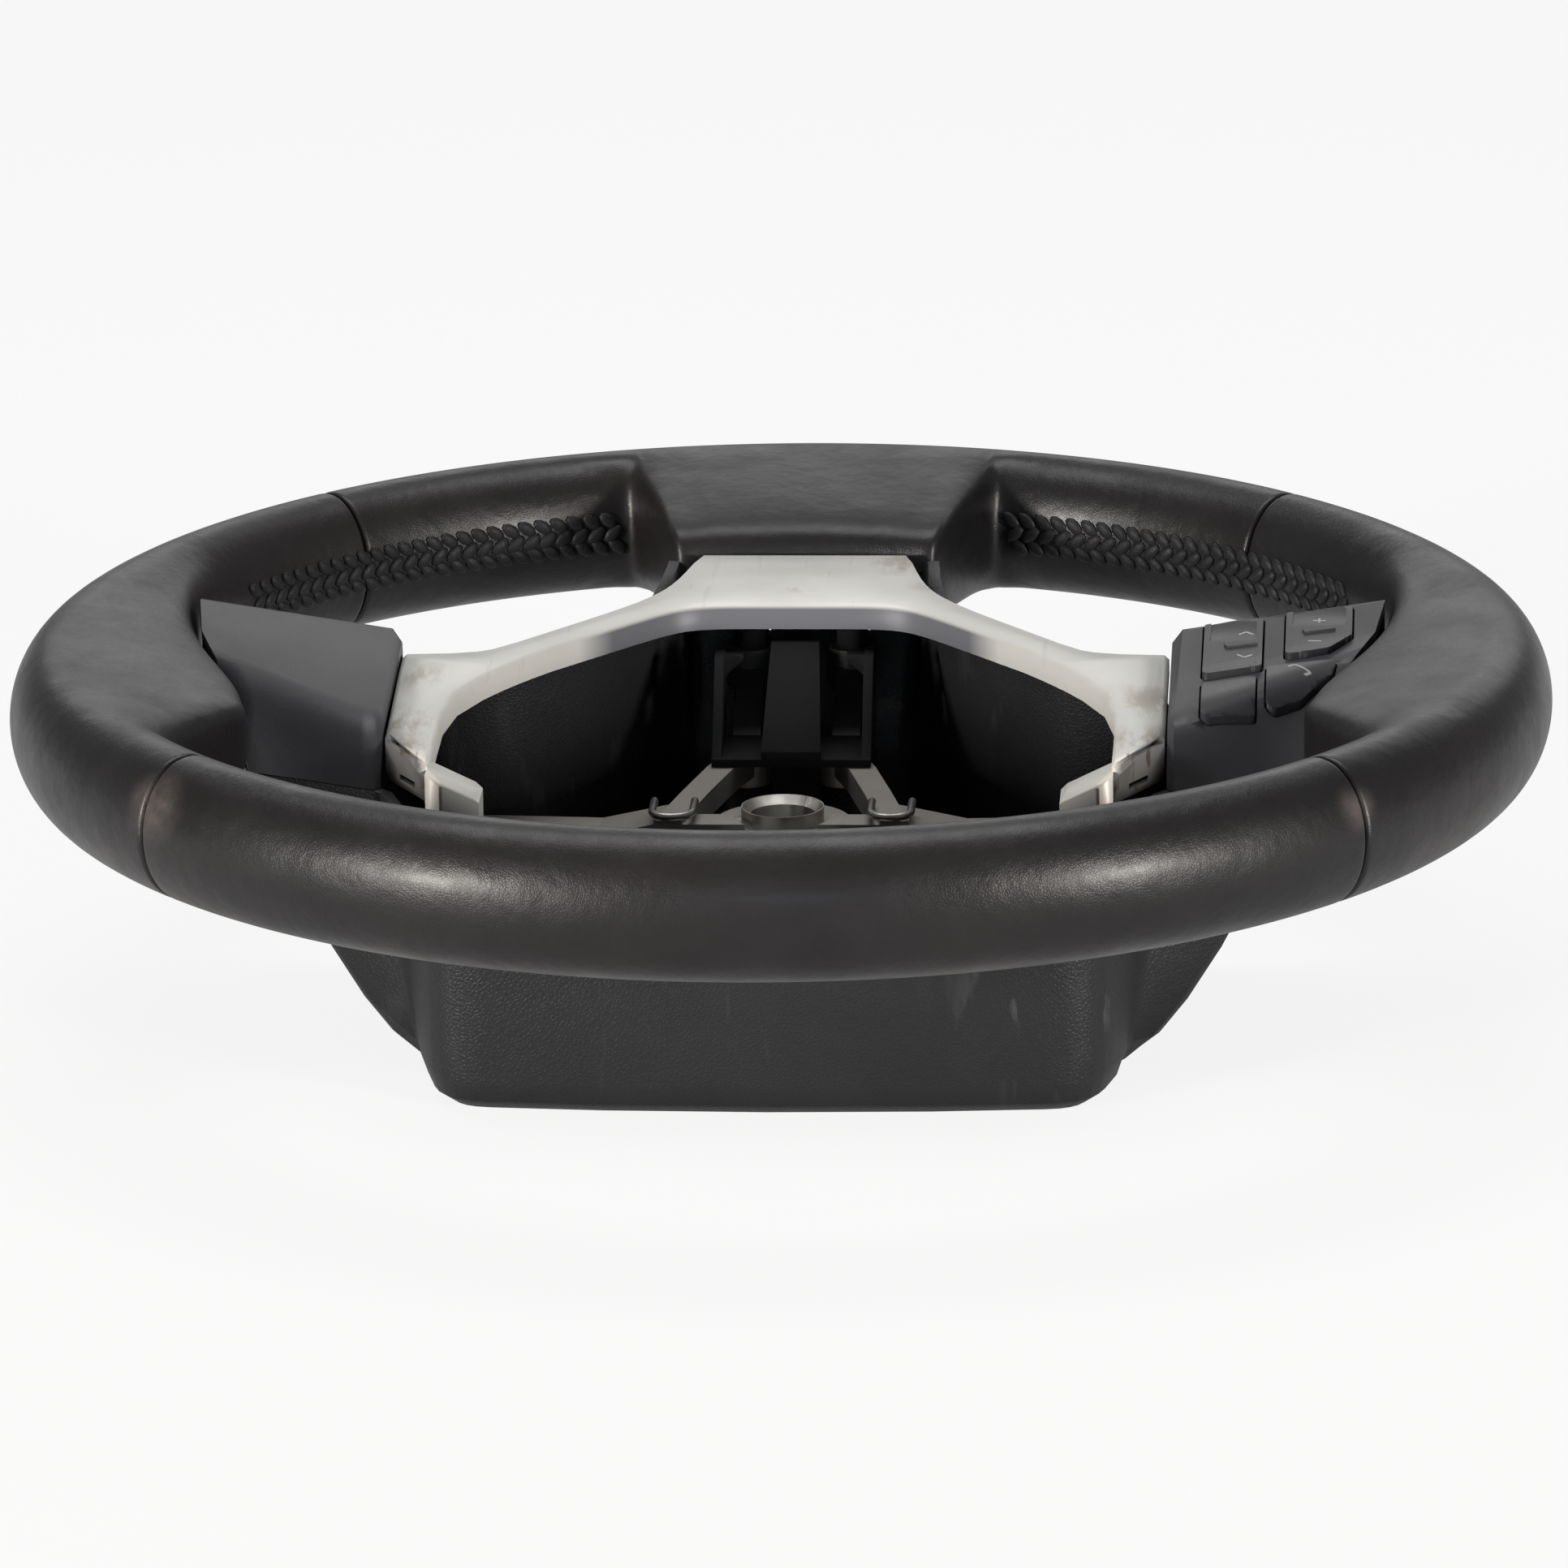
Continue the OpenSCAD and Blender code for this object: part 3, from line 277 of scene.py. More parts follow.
# Armature: one light-alloy casting of hub boss, side arms, wishbone and rim core, sand-cast and dull.
# Towards the lower spoke, under the bridge, it is painted dark as painted shade. A turned steel bush for the
# column is cast into the boss.
shade_starts = -54 * mm
shade_full = -66 * mm
bore_darkening_scale = 30.0
cast = Finish("cast_alloy", Specular_IOR_Level=0.5)
casting_skin = cast.noise(900, 4, 0.65)
oxide = cast.ramp(cast.noise(38, 3, 0.6), (0.38, 0.0), (0.7, 1.0))
cast_tone = cast.mix(oxide * 0.55, (0.36, 0.335, 0.31, 1), (0.20, 0.185, 0.17, 1))
# Painted shade: towards the lower spoke, where the casting lies under the bridge, it is coloured near-black
# and less metallic.
painted_shade = cast.rise(cast.axes()[1], shade_starts, shade_full)
cast_tone = cast.mix(painted_shade, cast_tone, (0.022, 0.021, 0.020, 1))
paint("armature", cast.feed(Base_Color=cast_tone, Roughness=0.46 + oxide * 0.16,
                            Metallic=0.85 - oxide * 0.3 - painted_shade * 0.5,
                            Normal=cast.bump(casting_skin, 0.0002, 0.5)))

bush = Finish("turned_steel", Anisotropic=0.3)
turning = bush.node("ShaderNodeTexWave", {"wave_type": "RINGS", "rings_direction": "Z"},
                    {"Scale": 900.0, "Distortion": 0.6, "Detail": 1.0})
tarnish = bush.ramp(bush.noise(120, 3, 0.6), (0.45, 0.0), (0.75, 1.0))
# Lower down the bore the bush is coloured darker and less metallic.
bore_darkening = bush.ramp(bush.axes()[2] * bore_darkening_scale, (0.2, 1.0), (0.68, 0.0))
bush_tone = bush.mix(tarnish * 0.4, (0.50, 0.48, 0.45, 1), (0.20, 0.17, 0.14, 1))
bush_tone = bush.mix(bore_darkening * 0.6, bush_tone, (0.05, 0.045, 0.04, 1))
paint("hub_insert", bush.feed(Base_Color=bush_tone, Roughness=0.32 + tarnish * 0.2,
                              Metallic=1.0 - bore_darkening * 0.5, Normal=bush.bump(turning, 0.00003, 0.4)))

# Foam: a soft skin moulded round the rim core, swelling into the roots of the three spokes.
# The hide covers it all; it shows at most as a dark line where the hide turns in.
# Angles round the rim are in degrees; 270 is 6 o'clock, where the lower spoke's root lies.
rim_z = 52 * mm
ring_r = 176 * mm
half_w = 14 * mm
half_t = 18 * mm
side_reach = 29 * mm
side_tip = 10.5 * mm
side_starts, side_full = -28, 10
side_fades, side_ends = 13, 30
low_reach = 43 * mm
low_tip = 12.5 * mm
low_flat = 13.5
low_fall = 2.6
low_spread = 0.19
swell_flat = 8
swell_fall = 11
swell_power = 1.5
root_drop = 2 * mm
root_knee = 12 * mm
root_square = 2.2
leather_t = 1.4 * mm
foam_inset = leather_t + 3.4 * mm
foam_points = 40
foam_steps = 600
foam_passes = 8
blank_r = 10
root_edge, root_edge_fade = 21, 6
inner_edge, inner_edge_fade = 5 * mm, 9 * mm
flank_from = 11.5
lip_r = 128 * mm


def ease(t):
    t = min(1, max(0, t))
    return t * t * (3 - 2 * t)


def from_six(a):
    return (a - 270 + 180) % 360 - 180


def side_root(d):
    return (side_reach * ease((d - side_starts) / (side_full - side_starts))
            * (1 - ease((d - side_fades) / (side_ends - side_fades))))


def low_root(d):
    return low_reach * (1 - ease((abs(d) - low_flat) / low_fall))


def low_swell(d):
    return low_reach * (1 - ease((abs(d) - swell_flat) / swell_fall)) ** swell_power


def reach(a):
    right = (a + 180) % 360 - 180
    left = (180 - a + 180) % 360 - 180
    return max(side_root(right), side_root(left), low_root(from_six(a)))


def skin(a, f, inset):
    c, s = math.cos(f), math.sin(f)
    width, depth, root = half_w - inset, half_t - inset, reach(a)
    if c >= 0:
        return width * c, depth * s
    swell = max(root, low_swell(from_six(a)))
    w = swell / (swell + root_knee)
    m = 1 / (1 + root_square * w)
    u = abs(c) ** m
    tip = low_tip if low_swell(from_six(a)) > 0 else side_tip
    tip = depth + (tip - inset - depth) * w * ease(u)
    height = tip * math.copysign(abs(s) ** m, s) - root_drop * w * ease(u)
    return -(width + root) * u, height


def on_rim(a, f, inset):
    out, up = skin(a, f, inset)
    r = ring_r + out
    if abs(from_six(a)) < low_flat + low_fall:
        a += from_six(a) * low_spread * ease(-(out + half_w) / low_reach)
    return Vector((r * math.cos(math.radians(a)), r * math.sin(math.radians(a)), rim_z + up))


def section_ring(bm, points, start):
    ring = bmesh.ops.create_circle(bm, segments=points, radius=1)["verts"]
    bmesh.ops.rotate(bm, verts=ring, cent=(0, 0, 0), matrix=Matrix.Rotation(math.radians(90), 3, "X"))
    bmesh.ops.translate(bm, verts=ring, vec=(blank_r, 0, 0))
    bmesh.ops.rotate(bm, verts=ring, cent=(0, 0, 0), matrix=Matrix.Rotation(math.radians(start), 3, "Z"))


def turn_of(v):
    return math.degrees(math.atan2(v.co.y, v.co.x))


def lift_of(v):
    return math.atan2(v.co.z, math.hypot(v.co.x, v.co.y) - blank_r)


# Each pass rounds a little less of the lower root, so that the rounding fades out towards the rim
def rounded_root(bm, passes):
    places = [(v, abs(from_six(turn_of(v))), math.hypot(v.co.x, v.co.y)) for v in bm.verts]
    for i in range(passes):
        widest = root_edge - root_edge_fade * i / passes
        farthest = ring_r - inner_edge - inner_edge_fade * i / passes
        root = [v for v, d, r in places if d < widest and r < farthest]
        flank = [v for v, d, r in places if flank_from < d < widest and lip_r < r < farthest]
        for part in (root, flank, flank):
            bmesh.ops.smooth_vert(bm, verts=part, factor=0.5, use_axis_x=True, use_axis_y=True,
                                  use_axis_z=True)


foam = Finish("foam", Specular_IOR_Level=0.2)
foam_pores = foam.cells(700)
foam_tone = foam.mix(foam_pores, (0.018, 0.018, 0.019, 1), (0.03, 0.03, 0.032, 1))
foam.feed(Base_Color=foam_tone, Roughness=0.85 + foam_pores * 0.1,
          Normal=foam.bump(foam_pores, 0.0002, 0.5))
bm = bmesh.new()
section_ring(bm, foam_points, 0)
bmesh.ops.spin(bm, geom=list(bm.edges), cent=(0, 0, 0), axis=(0, 0, 1), dvec=(0, 0, 0), angle=math.tau,
               steps=foam_steps, use_merge=True, use_duplicate=False)
for v in bm.verts:
    v.co = on_rim(turn_of(v), lift_of(v), foam_inset)
rounded_root(bm, foam_passes)
foam_ring = finished("foam_skin", bm, foam.material, "wheel", 60)
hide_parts("rim_foam")

# Rim leather: four sleeves of smooth black hide, cut and sewn round the foam.
# Their ends tuck into the cross seams, and their inner edges are folded under.
seam_tops = 40
seam_lows = -46
seam_gap = 0.08
seam_depth = 1.0 * mm
seam_length = 1.3 * mm
seam_steps = 5
sleeves = {"leather_top": (seam_tops, 180 - seam_tops), "leather_right": (seam_lows, seam_tops),
           "leather_left": (180 - seam_tops, 180 - seam_lows),
           "leather_bottom": (180 - seam_lows, 360 + seam_lows)}
section_points = 72
step_degrees = {"leather_top": 0.8, "leather_right": 0.5, "leather_left": 0.5, "leather_bottom": 0.2}
leather_passes = 36
# Places in mm, and how far the wear spreads: the near seams, and four flecks on the near rim
worn_places = [(144.0, 126.0, 62.0, 13.0), (-146.0, 125.0, 62.0, 9.0), (126.0, 154.0, 66.0, 5.0),
               (78.5, 172.0, 66.0, 4.0), (-81.0, 146.0, 66.0, 3.5), (-67.0, 146.0, 66.0, 3.5)]

hide = Finish("leather", Specular_IOR_Level=0.3, Coat_Roughness=0.25)
pores = hide.cells(1400, "DISTANCE_TO_EDGE")
creases = hide.noise(300, 5, 0.6)
rubbed = hide.ramp(hide.noise(21, 6, 0.72), (0.40, 0.0), (0.66, 1.0))
polish = hide.ramp(hide.noise(30, 8, 0.75), (0.34, 0.0), (0.68, 1.0))
brown = hide.ramp(hide.noise(8, 2, 0.5), (0.45, 0.0), (0.7, 0.6))
tone = hide.mix(brown, (0.0060, 0.0056, 0.0064, 1), (0.0125, 0.0095, 0.0085, 1))
tone = hide.mix(rubbed * 0.45, tone, (0.0145, 0.0135, 0.0138, 1))
fleck = (hide.ramp(hide.cells(105), (0.0, 1.0), (0.03, 0.0))
         * hide.ramp(hide.noise(17, 1), (0.54, 0.0), (0.6, 1.0)))
for x, y, z, r in worn_places:
    worn = hide.near((x * mm, y * mm, z * mm), r * mm) * (rubbed * 0.6 + creases * 0.5)
    fleck = fleck.math("MAXIMUM", fleck, worn)
tone = hide.mix(fleck * 0.8, tone, (0.21, 0.18, 0.165, 1))
grain = hide.bump(hide.ramp(pores, (0.0, 0.0), (0.2, 1.0)), 0.00006, 0.3)
grain = hide.bump(creases, 0.0005, 0.22, grain)
grain = hide.bump(hide.noise(55, 3, 0.55), 0.0022, 0.25, grain)
leather = hide.feed(Base_Color=tone, Roughness=0.41 - polish * 0.09 + rubbed * 0.04 + fleck * 0.2,
                    Normal=grain, Coat_Weight=polish * 0.16)

tuck = math.degrees(seam_length / ring_r)
for name, (start, end) in sleeves.items():
    steps = round((end - start - 2 * seam_gap) / step_degrees[name])
    start, end = start + seam_gap, end - seam_gap
    bm = bmesh.new()
    section_ring(bm, section_points, start)
    edges = list(bm.edges)
    for span, count in ((tuck, seam_steps), (end - start - 2 * tuck, steps), (tuck, seam_steps)):
        swept = bmesh.ops.spin(bm, geom=edges, cent=(0, 0, 0), axis=(0, 0, 1), dvec=(0, 0, 0),
                               angle=math.radians(span), steps=count, use_merge=False,
                               use_duplicate=False)
        edges = [e for e in swept["geom_last"] if isinstance(e, bmesh.types.BMEdge)]
    for v in bm.verts:
        a = start + (turn_of(v) - start + 1) % 360 - 1
        to_end = min(1, min(a - start, end - a) / tuck)
        sunk = seam_depth * (1 - math.sqrt(max(0, 1 - (1 - to_end) ** 2)))
        v.co = on_rim(a, lift_of(v), sunk)
    if name == "leather_bottom":
        rounded_root(bm, leather_passes)
    open_ends = [e for e in bm.edges if e.is_boundary]
    folded = bmesh.ops.extrude_edge_only(bm, edges=open_ends)["geom"]
    for v in (g for g in folded if isinstance(g, bmesh.types.BMVert)):
        a = math.radians(turn_of(v))
        centre = Vector((ring_r * math.cos(a), ring_r * math.sin(a), rim_z))
        v.co = v.co + (centre - v.co).normalized() * leather_t
    sleeve = finished(name + "_hide", bm, leather, "wheel", 60)
    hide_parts(name)

# Lacing: a flat plait of black waxed cord, laid along the inner side of the rim between the roots.
# Three rows of slanting strands turn each the other way, so the face shows a herringbone.
lacing_top = (33, 147)
lacing_right = (-72, -31)
lacing_left = (211, 252)
strand_pitch = 4.4 * mm
strand_size = (3.0 * mm, 1.7 * mm, 0.85 * mm)
strand_slant = math.radians(38)
row_gap = 3.5 * mm
row_step = 0.25
cord = Finish("lacing", Specular_IOR_Level=0.25)
twist = cord.noise(1600, 2, 0.5)
rubbed_cord = cord.ramp(cord.noise(60, 3, 0.5), (0.45, 0.0), (0.75, 1.0))
cord_tone = cord.mix(rubbed_cord * 0.5, (0.008, 0.008, 0.009, 1), (0.020, 0.019, 0.020, 1))
cord.feed(Base_Color=cord_tone, Roughness=0.5 + twist * 0.15 - rubbed_cord * 0.1,
          Normal=cord.bump(twist, 0.00025, 0.6))

bm = bmesh.new()
for first, last in (lacing_top, lacing_right, lacing_left):
    strands = round(math.radians(last - first) * (ring_r - half_w) / strand_pitch)
    for row in (-1, 0, 1):
        for i in range(strands):
            turn = math.radians(first + (last - first) * (i + 0.5 + row_step * row) / strands)
            up = row * row_gap
            r = ring_r - half_w * math.sqrt(1 - (up / half_t) ** 2)
            strand = bmesh.ops.create_icosphere(bm, subdivisions=2, radius=1)["verts"]
            bmesh.ops.scale(bm, verts=strand, vec=strand_size)
            bmesh.ops.rotate(bm, verts=strand, cent=(0, 0, 0),
                             matrix=Matrix.Rotation(strand_slant * (-1 if row else 1), 3, "Z"))
            inward = Vector((-math.cos(turn), -math.sin(turn), 0.0))
            around = Vector((-math.sin(turn), math.cos(turn), 0.0))
            lay = Matrix((around, inward.cross(around), inward)).transposed()
            bmesh.ops.rotate(bm, verts=strand, cent=(0, 0, 0), matrix=lay)
            bmesh.ops.translate(bm, verts=strand, vec=-inward * r + Vector((0, 0, rim_z + up)))
plait = finished("plaited_lacing", bm, cord.material, "wheel", 80)
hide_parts("lacing")

# Bracket: a dark moulding clipped over the wishbone; its sloping rib and snap hooks hold the trim's bridge.
# Two wire springs for the centre pad lie on the crossing beside it.
merge_gap = 0.002 * mm
flat_angle = 0.6


def moulded(name, dark, light, rough, grain, depth, shine=0.3):
    plastic = Finish(name, Specular_IOR_Level=shine)
    fine = plastic.noise(grain, 3, 0.6)
    patch = plastic.ramp(plastic.noise(26, 4, 0.6), (0.4, 0.0), (0.75, 1.0))
    tone = plastic.mix(patch * 0.6 + fine * 0.25, dark, light)
    return plastic.feed(Base_Color=tone, Roughness=rough + patch * 0.1 - fine * 0.06,
                        Normal=plastic.bump(fine, depth, 0.5))


def dressed(node, material, body, angle, edge=0.0):
    bm = bmesh.new()
    bm.from_mesh(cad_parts[node].data)
    bmesh.ops.remove_doubles(bm, verts=bm.verts, dist=merge_gap)
    bmesh.ops.dissolve_limit(bm, angle_limit=math.radians(flat_angle), verts=bm.verts, edges=bm.edges)
    if edge:
        corners = [e for e in bm.edges
                   if len(e.link_faces) == 2 and e.calc_face_angle() > math.radians(angle)]
        bmesh.ops.bevel(bm, geom=corners, offset=edge, offset_type="OFFSET", affect="EDGES",
                        segments=2, profile=0.5, material=-1, clamp_overlap=True)
    bmesh.ops.triangulate(bm, faces=bm.faces)
    piece = finished(node + "_dressed", bm, material, body, angle)
    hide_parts(node)
    return piece


inner = moulded("inner_plastic", (0.0035, 0.0035, 0.004, 1), (0.0075, 0.0075, 0.008, 1), 0.7, 800,
                0.00012, 0.12)
dressed("spoke_bracket", inner, "wheel", 35, 0.25 * mm)

spring = Finish("spring_wire", Specular_IOR_Level=0.5)
drawn = spring.noise(1500, 2, 0.5)
rust = spring.ramp(spring.noise(200, 3, 0.6), (0.5, 0.0), (0.8, 0.7))
spring_tone = spring.mix(rust, (0.30, 0.29, 0.28, 1), (0.12, 0.08, 0.06, 1))
paint("pad_springs", spring.feed(Base_Color=spring_tone, Roughness=0.36 + rust * 0.2,
                                 Metallic=1.0 - rust * 0.4, Normal=spring.bump(drawn, 0.00005, 0.4)))

# Rear cover: one deep black tub with a fine leather-like grain, moulded in one shot.
# Six screws draw it up against the armature's pads and the trim's posts.
scuff_place = (-80 * mm, 90 * mm, 4 * mm)
scuff_size = 45 * mm
tub = Finish("cover_plastic", Specular_IOR_Level=0.32)
hide_grain = tub.cells(950, "DISTANCE_TO_EDGE")
tub_fine = tub.noise(2200, 2, 0.5)
handled = tub.ramp(tub.noise(18, 4, 0.6), (0.42, 0.0), (0.72, 1.0))
scratches = tub.ramp(tub.streaks((0.3, 0.5, 0.9), (160, 14, 30), 3, 0.5), (0.60, 0.0), (0.66, 1.0))
scuffed = scratches * tub.near(scuff_place, scuff_size)
scuffed = scuffed.math("MAXIMUM", scuffed, scratches * handled * 0.25)
tub_tone = tub.mix(handled * 0.5, (0.0090, 0.0092, 0.0108, 1), (0.0165, 0.0165, 0.019, 1))
tub_tone = tub.mix(scuffed * 0.7, tub_tone, (0.10, 0.10, 0.105, 1))
tub_normal = tub.bump(tub.ramp(hide_grain, (0.0, 0.0), (0.25, 1.0)), 0.00015, 0.45)
tub_normal = tub.bump(tub_fine, 0.00005, 0.4, tub_normal)
tub.feed(Base_Color=tub_tone, Roughness=0.47 + handled * 0.08 - scuffed * 0.1, Normal=tub_normal)
dressed("rear_cover", tub.material, "wheel", 40)

zinc = Finish("blackened_screws", Specular_IOR_Level=0.5)
zinc_wear = zinc.ramp(zinc.noise(260, 3, 0.6), (0.5, 0.0), (0.75, 1.0))
zinc.feed(Base_Color=zinc.mix(zinc_wear, (0.05, 0.05, 0.052, 1), (0.22, 0.21, 0.20, 1)),
          Roughness=0.4 + zinc_wear * 0.1, Metallic=0.6 + zinc_wear * 0.3,
          Normal=zinc.bump(zinc.noise(1800, 2, 0.5), 0.00004, 0.4))
for node in ("cover_screws", "trim_screws", "switch_screws"):
    dressed(node, zinc.material, "wheel", 35)

# Trim: a silver-painted moulding round the hub's opening, its two arms ending in a tab and a post.
# Smudges and small scratches follow the places where hands and the centre pad touch it.
# The end faces of the tabs are coloured lighter and warmer. The wall round the lower opening carries a dark
# bluish painted shade, and the parts below it a near-black painted shade.
smudges = [(-28.0, -104.0, 57.5, 15.0, 1.0), (-35.0, -84.0, 57.5, 9.0, 0.8),
           (-1.3, -80.5, 57.5, 6.0, 0.8), (31.0, -106.0, 57.5, 10.0, 0.7),
           (-92.0, 8.0, 54.0, 17.0, 0.7), (-92.0, 36.0, 52.0, 18.0, 0.9),
           (91.0, -6.0, 55.0, 13.0, 0.6), (93.0, 24.0, 53.0, 16.0, 0.8), (90.0, 40.0, 51.0, 12.0, 0.8)]
tab_line = (97.2 * mm, 97.8 * mm)
wall_top = (56.9 * mm, 56.2 * mm)
wall_foot = (50.8 * mm, 50.2 * mm)
wall_from = (-34 * mm, -44 * mm)
spoke_turn = math.radians(30)

silver = Finish("silver_paint", Metallic=0.25, Specular_IOR_Level=0.35)
across, along, height = silver.axes()
flake = silver.noise(2600, 2, 0.5)
haze = silver.ramp(silver.noise(30, 4, 0.62), (0.40, 0.0), (0.72, 1.0))
scratched = silver.ramp(silver.streaks((0.2, 0.9, 0.6), (260, 22, 60), 3, 0.55), (0.63, 0.0), (0.68, 1.0))
smear = silver.ramp(silver.streaks((0.1, 0.2, 0.5), (110, 40, 60), 5, 0.7), (0.47, 0.0), (0.60, 1.0))
silver_tone = silver.mix(haze * 0.6, (0.530, 0.527, 0.500, 1), (0.455, 0.450, 0.430, 1))
for x, y, z, r, strength in smudges:
    smudged = silver.near((x * mm, y * mm, z * mm), r * mm) * smear * strength
    silver_tone = silver.mix(smudged, silver_tone, (0.27, 0.225, 0.175, 1))
# The tabs' end faces, picked out by their outward plane, are coloured lighter and warmer, with brown
# scratches on them.
toward_tab = silver.node("ShaderNodeMath", {"operation": "ABSOLUTE"}, [across]) * math.cos(spoke_turn)
tab = silver.rise(toward_tab + along * math.sin(spoke_turn), *tab_line)
silver_tone = silver.mix(tab * 0.8, silver_tone, (0.690, 0.650, 0.590, 1))
silver_tone = silver.mix(tab * scratched, silver_tone, (0.30, 0.20, 0.13, 1))
silver_tone = silver.mix(scratched * 0.25, silver_tone, (0.40, 0.39, 0.37, 1))
# Painted shade: round the lower opening, the wall is coloured dark and bluish and the parts below it
# near-black, where shade falls under the bridge.
lower_arc = silver.rise(along, *wall_from)
wall_painted_shade = silver.rise(height, *wall_top) * lower_arc
silver_tone = silver.mix(wall_painted_shade * 0.95, silver_tone, (0.105, 0.108, 0.125, 1))
underside_painted_shade = silver.rise(height, *wall_foot) * lower_arc
silver_tone = silver.mix(underside_painted_shade, silver_tone, (0.020, 0.020, 0.022, 1))
silver.feed(Base_Color=silver_tone, Roughness=0.48 + haze * 0.1 + scratched * 0.08,
            Normal=silver.bump(flake, 0.00004, 0.35))
dressed("trim", silver.material, "wheel", 38)

# Spoke covers: soft black paint over moulded shells, worn grey where thumbs rest.
# The driver's right one is blank; the left one is the bezel round the four keys.
soft = Finish("spoke_plastic", Specular_IOR_Level=0.4)
soft_grain = soft.noise(1500, 3, 0.6)
thumbed = soft.ramp(soft.noise(24, 4, 0.6), (0.38, 0.0), (0.70, 1.0))
soft_tone = soft.mix(thumbed * 0.6, (0.026, 0.026, 0.030, 1), (0.043, 0.042, 0.046, 1))
soft_specks = soft.ramp(soft.cells(260), (0.0, 1.0), (0.05, 0.0)) * thumbed
soft_tone = soft.mix(soft_specks * 0.5, soft_tone, (0.16, 0.15, 0.14, 1))
soft.feed(Base_Color=soft_tone, Roughness=0.46 + thumbed * 0.1 - soft_grain * 0.08,
          Normal=soft.bump(soft_grain, 0.00010, 0.45))
dressed("right_spoke_cover", soft.material, "wheel", 38)
dressed("switch_bezel", soft.material, "wheel", 28)

# Switch block: a tray screwed under the bezel with the circuit board and its rubber domes.
# Ears on the tray hold the rockers' pins.
dressed("switch_housing", inner, "wheel", 35)
resist = Finish("circuit_board", Specular_IOR_Level=0.5)
tracks = resist.node("ShaderNodeTexBrick", {},
                     {"Vector": resist.place(), "Scale": 260.0, "Mortar Size": 0.03,
                      "Color1": grey(0.0), "Color2": grey(0.2), "Mortar": grey(1.0)})
board_tone = resist.mix(tracks, (0.012, 0.075, 0.030, 1), (0.03, 0.16, 0.07, 1))
paint("switch_board", resist.feed(Base_Color=board_tone, Roughness=0.34 + resist.noise(400, 2) * 0.1,
                                  Normal=resist.bump(tracks, 0.00005, 0.5)))
silicone = moulded("mat_rubber", (0.12, 0.12, 0.13, 1), (0.19, 0.19, 0.20, 1), 0.6, 500, 0.0001)
dressed("switch_mat", silicone, "wheel", 30)

# Keys: four satin black caps in the bezel. The two rockers turn on pins along the spoke,
# and the two push keys hang on a flange under the bezel.
# Each cap's near half follows the spoke's face as that rolls down, read from the blank cover's mirrored face.
keys = {"seek_rocker": "seek_key", "volume_rocker": "volume_key", "mode_button": "mode_key",
        "phone_button": "phone_key"}
key_lift = 1.3 * mm
key_edge = 0.5 * mm
key_cuts = 1.2 * mm
sky = 0.2
down = Vector((0, 0, -1))
key_plastic = moulded("key_plastic", (0.024, 0.024, 0.027, 1), (0.040, 0.039, 0.043, 1), 0.40, 1300,
                      0.00006)
caps = {}


def as_tree(mesh):
    return BVHTree.FromPolygons([v.co for v in mesh.vertices], [p.vertices for p in mesh.polygons])


spoke_face = as_tree(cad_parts["right_spoke_cover"].data)
for node, body in keys.items():
    bm = bmesh.new()
    bm.from_mesh(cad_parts[node].data)
    bmesh.ops.remove_doubles(bm, verts=bm.verts, dist=merge_gap)
    low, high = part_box(node)
    for axis in (0, 1):
        count = round((high[axis] - low[axis]) / key_cuts)
        for i in range(1, count):
            cut, normal = Vector(low), Vector((0, 0, 0))
            cut[axis] += (high[axis] - low[axis]) * i / count
            normal[axis] = 1
            bmesh.ops.bisect_plane(bm, geom=list(bm.verts) + list(bm.edges) + list(bm.faces), dist=1e-7,
                                   plane_co=cut, plane_no=normal)
    for v in bm.verts:
        hit = spoke_face.ray_cast(Vector((-v.co.x, v.co.y, sky)), down)[0]
        nearness = (v.co.y - low[1]) / (high[1] - low[1])
        if hit and v.co.z > hit.z + key_lift * nearness:
            v.co.z = min(v.co.z, hit.z + key_lift * nearness + key_edge)
    caps[node] = finished(node + "_cap", bm, key_plastic, body, 34)
    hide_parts(node)

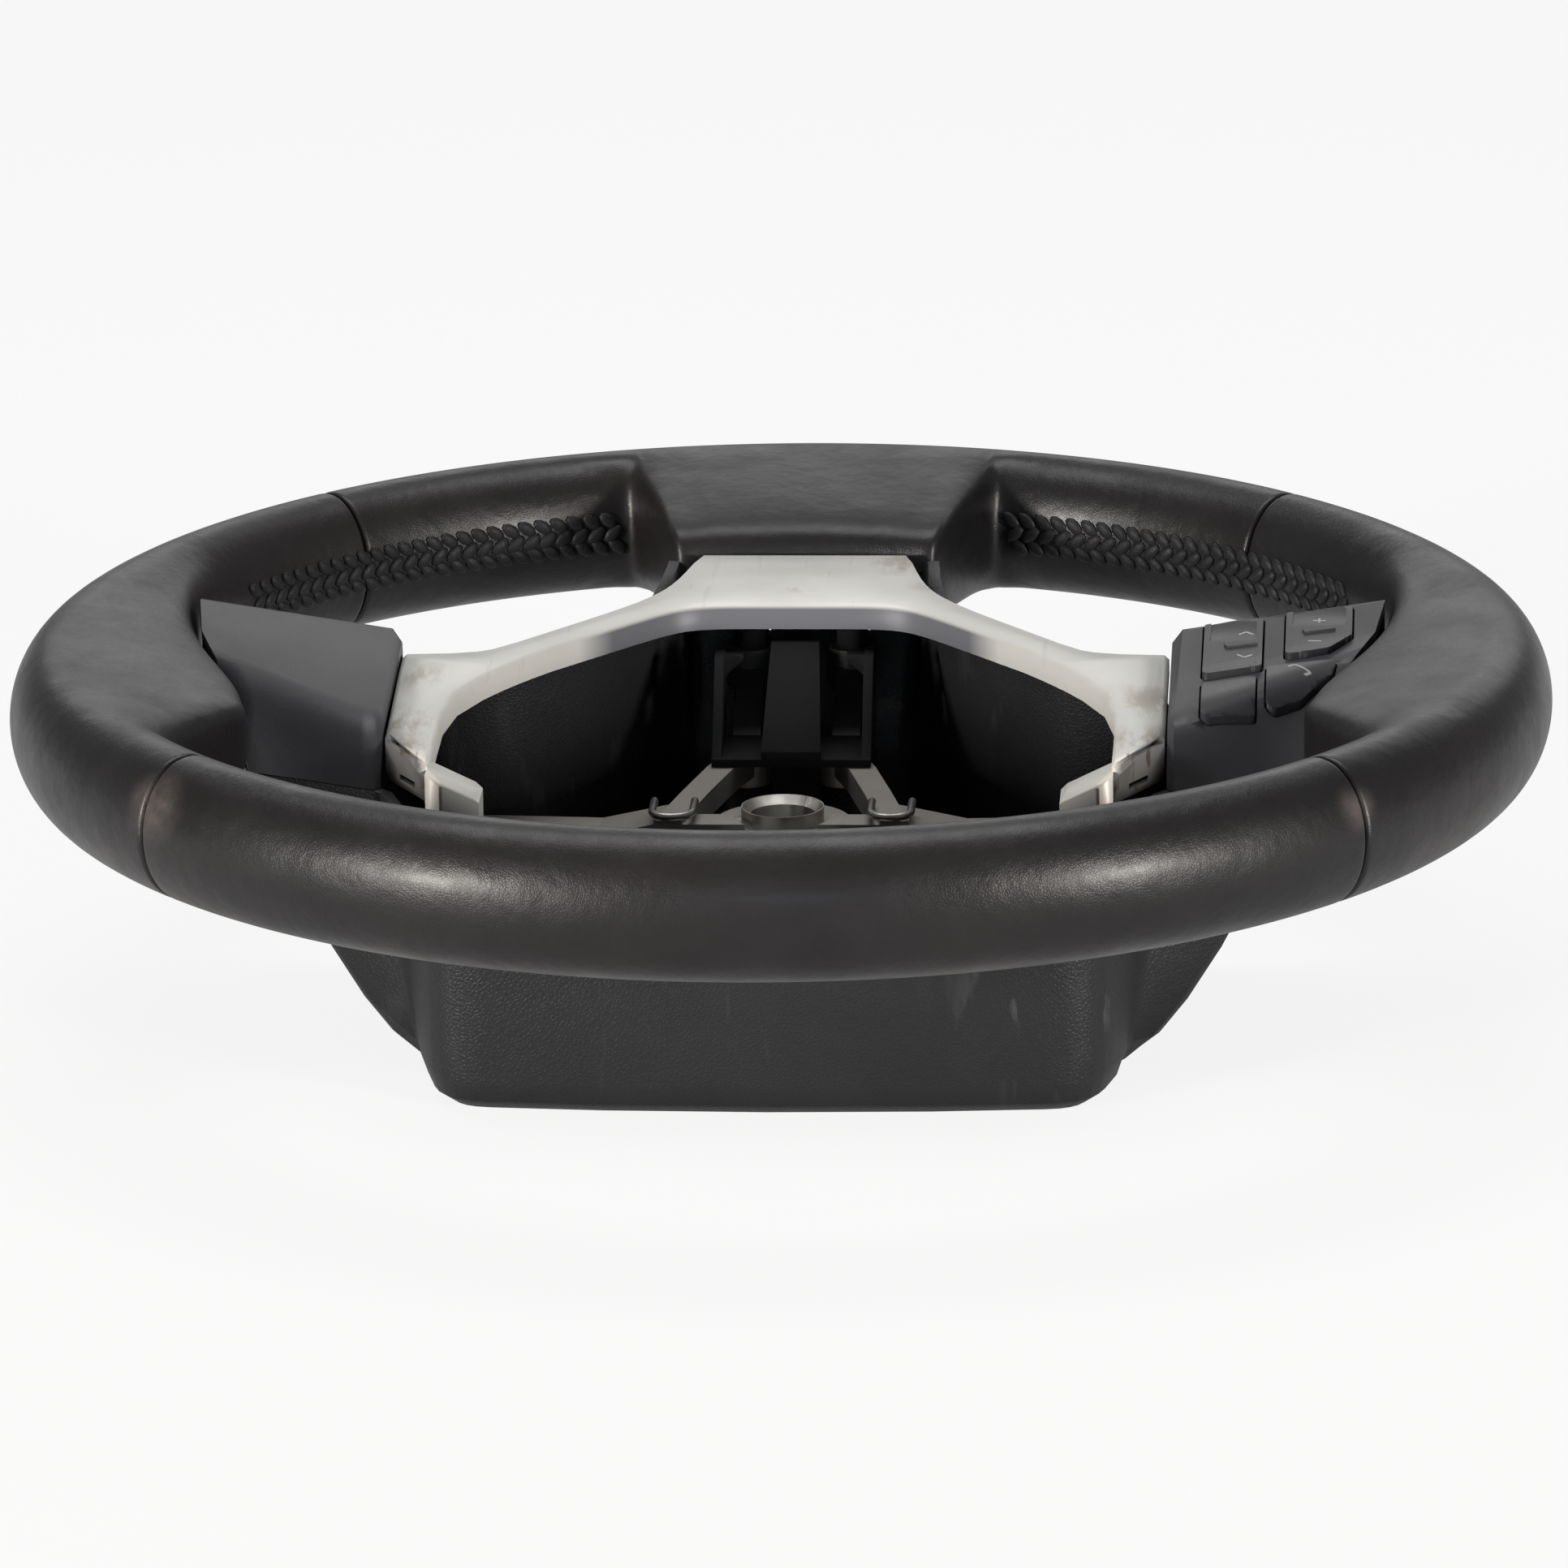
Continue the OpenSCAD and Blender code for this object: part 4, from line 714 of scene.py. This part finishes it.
# Key marks: pale signs printed on the caps, and a low moulded bar across the middle of each rocker.
# Each one is a few strokes laid on its cap: start and end in mm, then the stroke's width.
ink_depth = 0.15 * mm
ink_height = 0.06 * mm
bar_height = 0.55 * mm
ink = moulded("key_marks", (0.30, 0.30, 0.31, 1), (0.45, 0.45, 0.46, 1), 0.5, 1500, 0.00002)


def printed(name, key, strokes, material, height):
    top = as_tree(caps[key].data)
    bm = bmesh.new()
    for (ax, ay), (bx, by), width in strokes:
        length = math.hypot(bx - ax, by - ay)
        stroke = bmesh.ops.create_grid(bm, x_segments=6, y_segments=1, size=0.5)["verts"]
        bmesh.ops.scale(bm, verts=stroke, vec=(length * mm, width * mm, 1))
        bmesh.ops.rotate(bm, verts=stroke, cent=(0, 0, 0),
                         matrix=Matrix.Rotation(math.atan2(by - ay, bx - ax), 3, "Z"))
        bmesh.ops.translate(bm, verts=stroke, vec=((ax + bx) / 2 * mm, (ay + by) / 2 * mm, 0))
    for v in bm.verts:
        v.co.z = top.ray_cast(Vector((v.co.x, v.co.y, sky)), down)[0].z - ink_depth
    raised = bmesh.ops.extrude_face_region(bm, geom=list(bm.faces))["geom"]
    bmesh.ops.translate(bm, verts=[g for g in raised if isinstance(g, bmesh.types.BMVert)],
                        vec=(0, 0, ink_depth + height))
    marks = finished(name, bm, material, keys[key], 30)


printed("seek_marks", "seek_rocker",
        [((-116.2, -25.2), (-114.4, -27.0), 0.55), ((-114.4, -27.0), (-112.6, -25.2), 0.55),
         ((-116.0, -9.8), (-114.2, -8.0), 0.55), ((-114.2, -8.0), (-112.4, -9.8), 0.55)],
        ink, ink_height)
printed("seek_bar", "seek_rocker", [((-117.0, -17.8), (-109.4, -15.0), 2.0)], key_plastic, bar_height)
printed("volume_bar", "volume_rocker", [((-136.2, -27.6), (-128.6, -24.6), 2.0)], key_plastic, bar_height)
printed("volume_marks", "volume_rocker",
        [((-134.0, -34.6), (-130.8, -34.6), 0.55), ((-132.4, -36.2), (-132.4, -33.0), 0.55),
         ((-133.0, -18.8), (-129.8, -18.8), 0.55)],
        ink, ink_height)
printed("phone_marks", "phone_button",
        [((-130.6, 0.4), (-126.6, -4.0), 0.6), ((-130.6, 0.4), (-129.2, 1.8), 0.9),
         ((-126.6, -4.0), (-125.2, -2.6), 0.9)],
        ink, ink_height)
